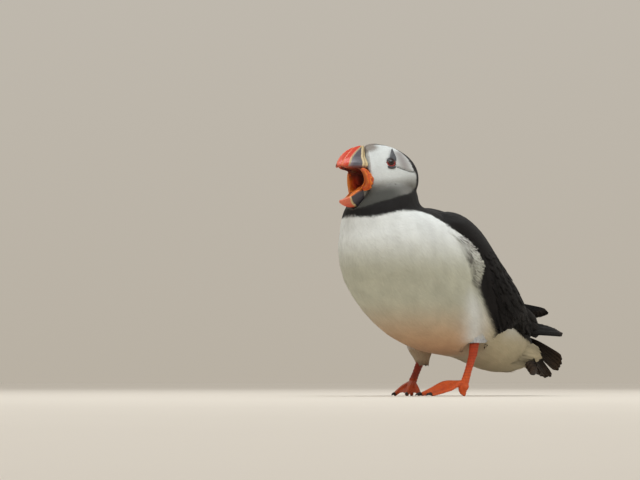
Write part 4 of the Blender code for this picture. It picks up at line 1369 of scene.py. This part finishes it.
def build_mouth():
    """The flesh inside the open bill: a cup from the rims of both bills and gapes back to the throat."""
    loop = np.array(MOUTH_LOOP + tuple((a, -l, t) for a, l, t in MOUTH_LOOP[-2::-1]))
    rim = along_rows(loop, np.linspace(0, len(loop) - 1, 97)[:-1])
    for _ in range(4):
        rim = (np.roll(rim, 1, 0) + rim * 2 + np.roll(rim, -1, 0)) / 4
    inward = np.linspace(0, 0.97, 26)[:, None]
    low = step(-rim[:, 2], 12, 19)[None]
    across = (1 - inward**2) ** 0.6 * (1 - low) + (1 - inward) ** 1.6 * low
    cup = THROAT + (rim - THROAT) * join(1 - inward, across, across)
    cup = cup + waves(cup, 5.5, 41)[..., None] * 0.35 * np.minimum(inward[..., None] * 6, 1)
    index = np.arange(across.size).reshape(across.shape)
    after = np.roll(index, -1, 1)
    faces = join(index[:-1], after[:-1], after[1:], index[1:]).reshape(-1, 4)
    obj = new_mesh("mouth_lining", from_body(from_head(cup.reshape(-1, 3))), faces)
    apply(obj, "SOLIDIFY", thickness=0.0005, offset=-1)
    shade_smooth(obj.data)
    a, l, t = split(head_places(obj.data))
    deep = 1 - np.clip((a - 15) / 24, 0, 1)
    # painted shade: darker with depth into the mouth and on its roof
    put_tint(obj.data, painted(
        LINING,
        (DEEP_LINING_SHADE, step(deep, 0.1, 0.35)),
        (GULLET_SHADE, step(deep, 0.3, 0.65)),
        (ROOF_SHADE, step(t, -5, 1) * 0.85),
    ))
    dress(obj, FOLD_SKIN, "mouth_red")


def build_rosette(hand, side):
    """The wrinkled petal of bare skin at a corner of the mouth."""
    obj = refined(f"rosette_{hand}", 0.3, 3, f"gape_{hand}")
    places = head_places(obj.data)
    path = along_rows(np.array(GAPE_PATH) * (1, side, 1, 1), np.linspace(0, len(GAPE_PATH) - 1, 80))
    path[1:-1] = (path[:-2] + path[1:-1] + path[2:]) / 3
    which = np.linalg.norm(places[:, None] - path[:, :3], axis=2).argmin(1)
    share = which / (len(path) - 1)
    middle, radius = path[which, :3], path[which, 3]
    offset = places - middle
    rear = -offset[:, 0] / radius
    out = offset[:, 1] * side / radius
    lobes = 0.22 * near(share, 0.42, 0.16) - 0.30 * near(share, 0.66, 0.05) + 0.16 * near(share, 0.82, 0.09)
    wide = np.where(rear > 0, 1.25 * (1 + lobes), 1.0)
    folds = np.sin(rear * 5.2 + 1.5 * waves(places, 6, 5)) * 0.45 * (out > 0)
    folds = folds + 0.28 * np.sin(share * 46 + 2.2 * waves(places, 5, 6)) * (0.4 + 0.6 * (rear > 0))
    moved = middle + offset * (1.0, 0.6, 1.0)
    moved[:, 0] += offset[:, 0] * (wide - 1) - 0.25 * folds
    moved[:, 1] += 0.5 * folds * side
    put_head_places(obj.data, moved)
    # painted highlight on the crests of the folds, painted shade in their creases, the front shaded on the
    # left and lit on the right
    put_tint(obj.data, painted(
        PETAL,
        (PETAL_FOLD_HIGHLIGHT, step(folds, -0.1, 0.6) * 0.7),
        (PETAL_SHADE, step(-rear, 0.35, 0.95) * (0.6 if side > 0 else 0.2)),
        (PETAL_LIGHT, step(-rear, 0.4, 1.0) * 0.8 * (side < 0)),
        (PETAL_CREASE_SHADE, step(-folds, 0.25, 0.7) * 0.6),
    ))
    dress(obj, FOLD_SKIN, "gape_orange", f"gape_{hand}")


# ---- eyes

RING_OUT = 2.7  # the eyelid ring's distance from the eyeball's centre
RING_RADIUS = 3.25
PUPIL, IRIS, EYE_EDGE = srgb(6, 5, 5), srgb(58, 36, 30), srgb(10, 8, 8)
# painted shade on the eye ring's upper part, under the plate
LID_RED, LID_SHADE, PLATE_GREY = srgb(164, 44, 38), srgb(52, 44, 46), srgb(60, 60, 64)


def hard_piece(name, voxel, source, colour, slot):
    """A small horny piece in one colour, made from one of the CAD's. Gives back its mesh."""
    obj = refined(name, voxel, 3, source)
    put_tint(obj.data, colour)
    dress(obj, HORN, slot, source)
    return obj.data


def round_piece(add, name, **settings):
    """A smooth primitive of its own, with its turn and place applied."""
    bpy.ops.object.select_all(action="DESELECT")
    add(**settings)
    obj = bpy.context.active_object
    obj.name = name
    bpy.ops.object.transform_apply(location=True, rotation=True, scale=True)
    bpy.ops.object.shade_smooth()
    return obj


def build_eye(hand, side):
    """A dark glossy eye in its red ring of bare skin, with the slate plates above and below."""
    centre = EYE_PLACE * (1, side, 1)
    axis = unit(EYE_AXIS * (1, side, 1))
    middle = Vector(from_body(from_head(centre)))
    turn = (Vector(from_body(from_head(centre + axis))) - middle).to_track_quat("Z", "Y").to_euler()
    ball = round_piece(
        bpy.ops.mesh.primitive_uv_sphere_add, f"eyeball_{hand}",
        segments=48, ring_count=32, radius=EYE_RADIUS / 1000, location=middle, rotation=turn,
    )
    angle = np.degrees(np.arccos(np.clip(unit(head_places(ball.data) - centre) @ axis, -1, 1)))
    tint = painted(PUPIL, (IRIS, step(angle, 18, 21)), (EYE_EDGE, step(angle, 36, 41)))
    put_tint(ball.data, tint)
    paint = Paint(f"eye_{hand}", Roughness=0.12, Specular_IOR_Level=0.35)
    paint.finish(paint.tint(0.8 + paint.noise(0.4) * 0.4))
    dress(ball, paint.material, "eye_dark", f"eye_{hand}")

    lid = centre + axis * RING_OUT
    ring = round_piece(
        bpy.ops.mesh.primitive_torus_add, f"eyelid_{hand}",
        major_segments=64, minor_segments=12, major_radius=RING_RADIUS / 1000, minor_radius=0.00062,
        location=Vector(from_body(from_head(lid))), rotation=turn,
    )
    places = head_places(ring.data)
    high = step(places[:, 2] - lid[2], -0.4, 1.4)
    beads = 0.06 * np.sin(np.arctan2(places[:, 2] - centre[2], places[:, 0] - centre[0]) * 30)
    stretched = places + head_facing(ring.data) * beads[:, None]
    stretched[:, 2] = lid[2] + (stretched[:, 2] - lid[2]) * 1.14
    put_head_places(ring.data, stretched)
    # painted shade: the ring darkened on its upper part, under the upper plate
    put_tint(ring.data, blend(LID_RED, LID_SHADE, high))
    dress(ring, FOLD_SKIN, "gape_orange")

    for part in ("upper", "lower"):
        plate = hard_piece(f"horn_{part}_{hand}", 0.18, f"eyeplate_{part}_{hand}", PLATE_GREY, "horn_grey")
        if part == "upper":
            spots = head_places(plate)
            spots[:, 0] = 11 + (spots[:, 0] - 11) * (1 + 0.4 * step(-spots[:, 2], -18.5, -10))
            put_head_places(plate, spots)


# ---- legs and feet

ORANGE = srgb(250, 112, 48)
DEEP_ORANGE = srgb(222, 78, 34)
WEB_PINK = srgb(232, 118, 84)
# painted shade up the shank, under the belly
SHANK_SHADE = srgb(196, 62, 30)
SHADE_RED = srgb(128, 36, 22)
SOLE = srgb(120, 50, 30)
SCUTE_RED = srgb(150, 40, 24)
CLAW_BLACK = srgb(26, 22, 21)
ANKLES = {1: (-16.5, math.radians(22)), -1: (-1.0, math.radians(46))}  # how far forward, and turned in
STANCE = 27  # from the middle to each ankle


def build_leg(hand, side):
    """A scaly shank and webbed foot, with three claws."""
    limbs = (f"shank_{hand}", f"foot_{hand}")
    obj = refined(f"leg_{hand}", 0.45, 4, *limbs, swell=0.25)
    facing = normals_of(obj.data)
    places = body_places(obj.data)
    ankle, inturn = ANKLES[side]
    u, v, z = split(places)
    ahead, out = u - ankle, v * side - STANCE
    along, aside = swing(ahead, out, inturn)
    pad = step(8 - np.hypot(ahead - 1, out), 0, 2) * step(9.5 - z, 0, 6) * step(6 - along, 0, 3)
    squeeze = 1 - 0.55 * pad
    places[:, 0] = ankle + 1 + (ahead - 1) * squeeze
    places[:, 1] = side * (STANCE + out * squeeze)
    if side > 0:
        z -= 0.45 * z * np.clip(aside / 10, 0, 1) * step(along, 5, 14) * step(-along, -40, -30)
        z += 2.8 * near(along, 19, 10) * step(z, 1, 4) * step(-aside, -6, 0)
        z += 6 * step(z, 34, 41)
    scutes = np.sin(z * 2.6 + 0.8 * waves(places, 5, 8)) * step(z, 11, 15)
    toes = np.sin(np.hypot(along, aside) * 3.1) * (1 - step(z, 9, 13))
    lift = (0.14 * scutes + 0.13 * toes) * step(z, 0.5, 1.2)
    put_points(obj.data, pushed(obj.data, lift, from_body(places)))
    tint = painted(
        ORANGE,
        (DEEP_ORANGE, 0.15 + 0.3 * (0.5 + 0.5 * waves(places, 11, 9))),
        (WEB_PINK, step(np.abs(facing[:, 2]), 0.6, 0.9) * step(along, 10, 18) * step(-z, -7, -4) * 0.5),
        # painted shade: darker red up the shank towards the belly
        (SHANK_SHADE, step(z, 12, 34) * 0.75),
        (SHADE_RED, (0.35 + 0.5 * step(z, 6, 20)) * (side < 0)),
        (SOLE, step(-z, -1.5, -0.3) * 0.5),
        (SCUTE_RED, step(np.sin(z * 2.6), 0.6, 1.0) * step(z, 12, 15) * 0.35),
    )
    put_tint(obj.data, tint)
    dress(obj, BARE_SKIN, "skin_orange", *limbs)
    for toe in ("inner", "middle", "outer"):
        hard_piece(f"nail_{toe}_{hand}", 0.25, f"claw_{toe}_{hand}", CLAW_BLACK, "claw_black")


# ---- studio

FLOOR_TONES = ((0.73, 0.67, 0.59, 1), (0.75, 0.69, 0.61, 1))
SKY_LOW, SKY_HIGH, SKY_POWER = (0.62, 0.56, 0.47, 1), (0.95, 0.955, 0.94, 1), 0.78
# Soft round lamps: place, the height they aim at, size in metres, power and colour.
LAMPS = {
    "sky": ((0.35, -0.1, 1.9), 0.1, 1.3, 18, (0.94, 0.98, 1.0)),
    "front": ((1.6, -1.5, 0.8), 0.12, 0.9, 1.5, (0.97, 0.98, 1.0)),
    "back": ((-1.2, 1.4, 1.3), 0.12, 1.0, 2, (0.97, 0.98, 1.0)),
}
VIEW_TURN = math.radians(53)
VIEW_DISTANCE = 2.40
VIEW_HEIGHT = 0.012
VIEW_WIDTH = 0.5504  # what the camera sees from side to side, at the aim
AIM_RIGHT, AIM_UP = -0.0946, 0.134


def turned_to(obj, place, aim):
    obj.location = place
    obj.rotation_euler = (Vector(aim) - Vector(place)).to_track_quat("-Z", "Y").to_euler()


def build_studio():
    """A wide pale floor under a soft sky that meets it without a line, and three soft lamps."""
    bpy.ops.mesh.primitive_plane_add(size=60, location=(0, 0, 0))
    floor = bpy.context.active_object
    floor.name = "floor"
    paint = Paint("floor", Roughness=0.9, Specular_IOR_Level=0.1)
    floor.data.materials.append(paint.finish(paint.mix(*FLOOR_TONES, paint.noise(180, 3))))
    world = bpy.data.worlds.new("studio")
    bpy.context.scene.world = world
    world.use_nodes = True
    tree = world.node_tree
    place, parts, sky = (tree.nodes.new("ShaderNode" + kind) for kind in ("TexCoord", "SeparateXYZ", "Mix"))
    sky.data_type = "RGBA"
    sky.inputs[6].default_value, sky.inputs[7].default_value = SKY_LOW, SKY_HIGH
    background = tree.nodes["Background"].inputs
    tree.links.new(place.outputs["Generated"], parts.inputs[0])
    tree.links.new(parts.outputs[2], sky.inputs[0])
    tree.links.new(sky.outputs[2], background[0])
    background[1].default_value = SKY_POWER
    bpy.context.scene.view_settings.view_transform = "Standard"
    for name, (place, aim, size, power, colour) in LAMPS.items():
        data = bpy.data.lights.new(name, "AREA")
        data.shape, data.size, data.energy, data.color = "DISK", size, power, colour
        turned_to(linked(name, data), place, (0, 0, aim))


def build_camera():
    """A long lens low over the floor, from ahead and to the bird's left."""
    between_feet = Vector(from_body((0, 0, 0)))
    c, s = math.cos(VIEW_TURN), math.sin(VIEW_TURN)
    place = between_feet + Vector((s * VIEW_DISTANCE, -c * VIEW_DISTANCE, VIEW_HEIGHT))
    aim = between_feet + Vector((c, s, 0)) * AIM_RIGHT + Vector((0, 0, AIM_UP))
    data = bpy.data.cameras.new("camera")
    data.sensor_width = 36
    data.lens = data.sensor_width * (aim - place).length / VIEW_WIDTH
    data.clip_start, data.clip_end = 0.05, 30
    camera = linked("camera", data)
    turned_to(camera, place, aim)
    bpy.context.scene.camera = camera


build_camera()
build_studio()
coat = build_coat(build_skin())
shoulders = build_shoulders()
for hand, side in SIDES:
    build_strands(hand, side, *shoulders)
    build_trousers(hand, side, coat[2])
    build_tail_coverts(hand, side, coat[2])
build_undertail(*coat)
for hand, side in SIDES:
    build_wing(hand, side)
    build_rosette(hand, side)
    build_eye(hand, side)
    build_leg(hand, side)
for hand, side in SIDES:
    build_inner_flight(hand, side)
build_flight("left", 1, (-60, 29, 59), (-127.5, 22, 57), -1)
build_flight("right", -1, (-62, 24, 80), (-134.5, 4, 70), 1)
build_tail()
build_upper_bill()
build_lower_bill()
build_tongue()
build_mouth()
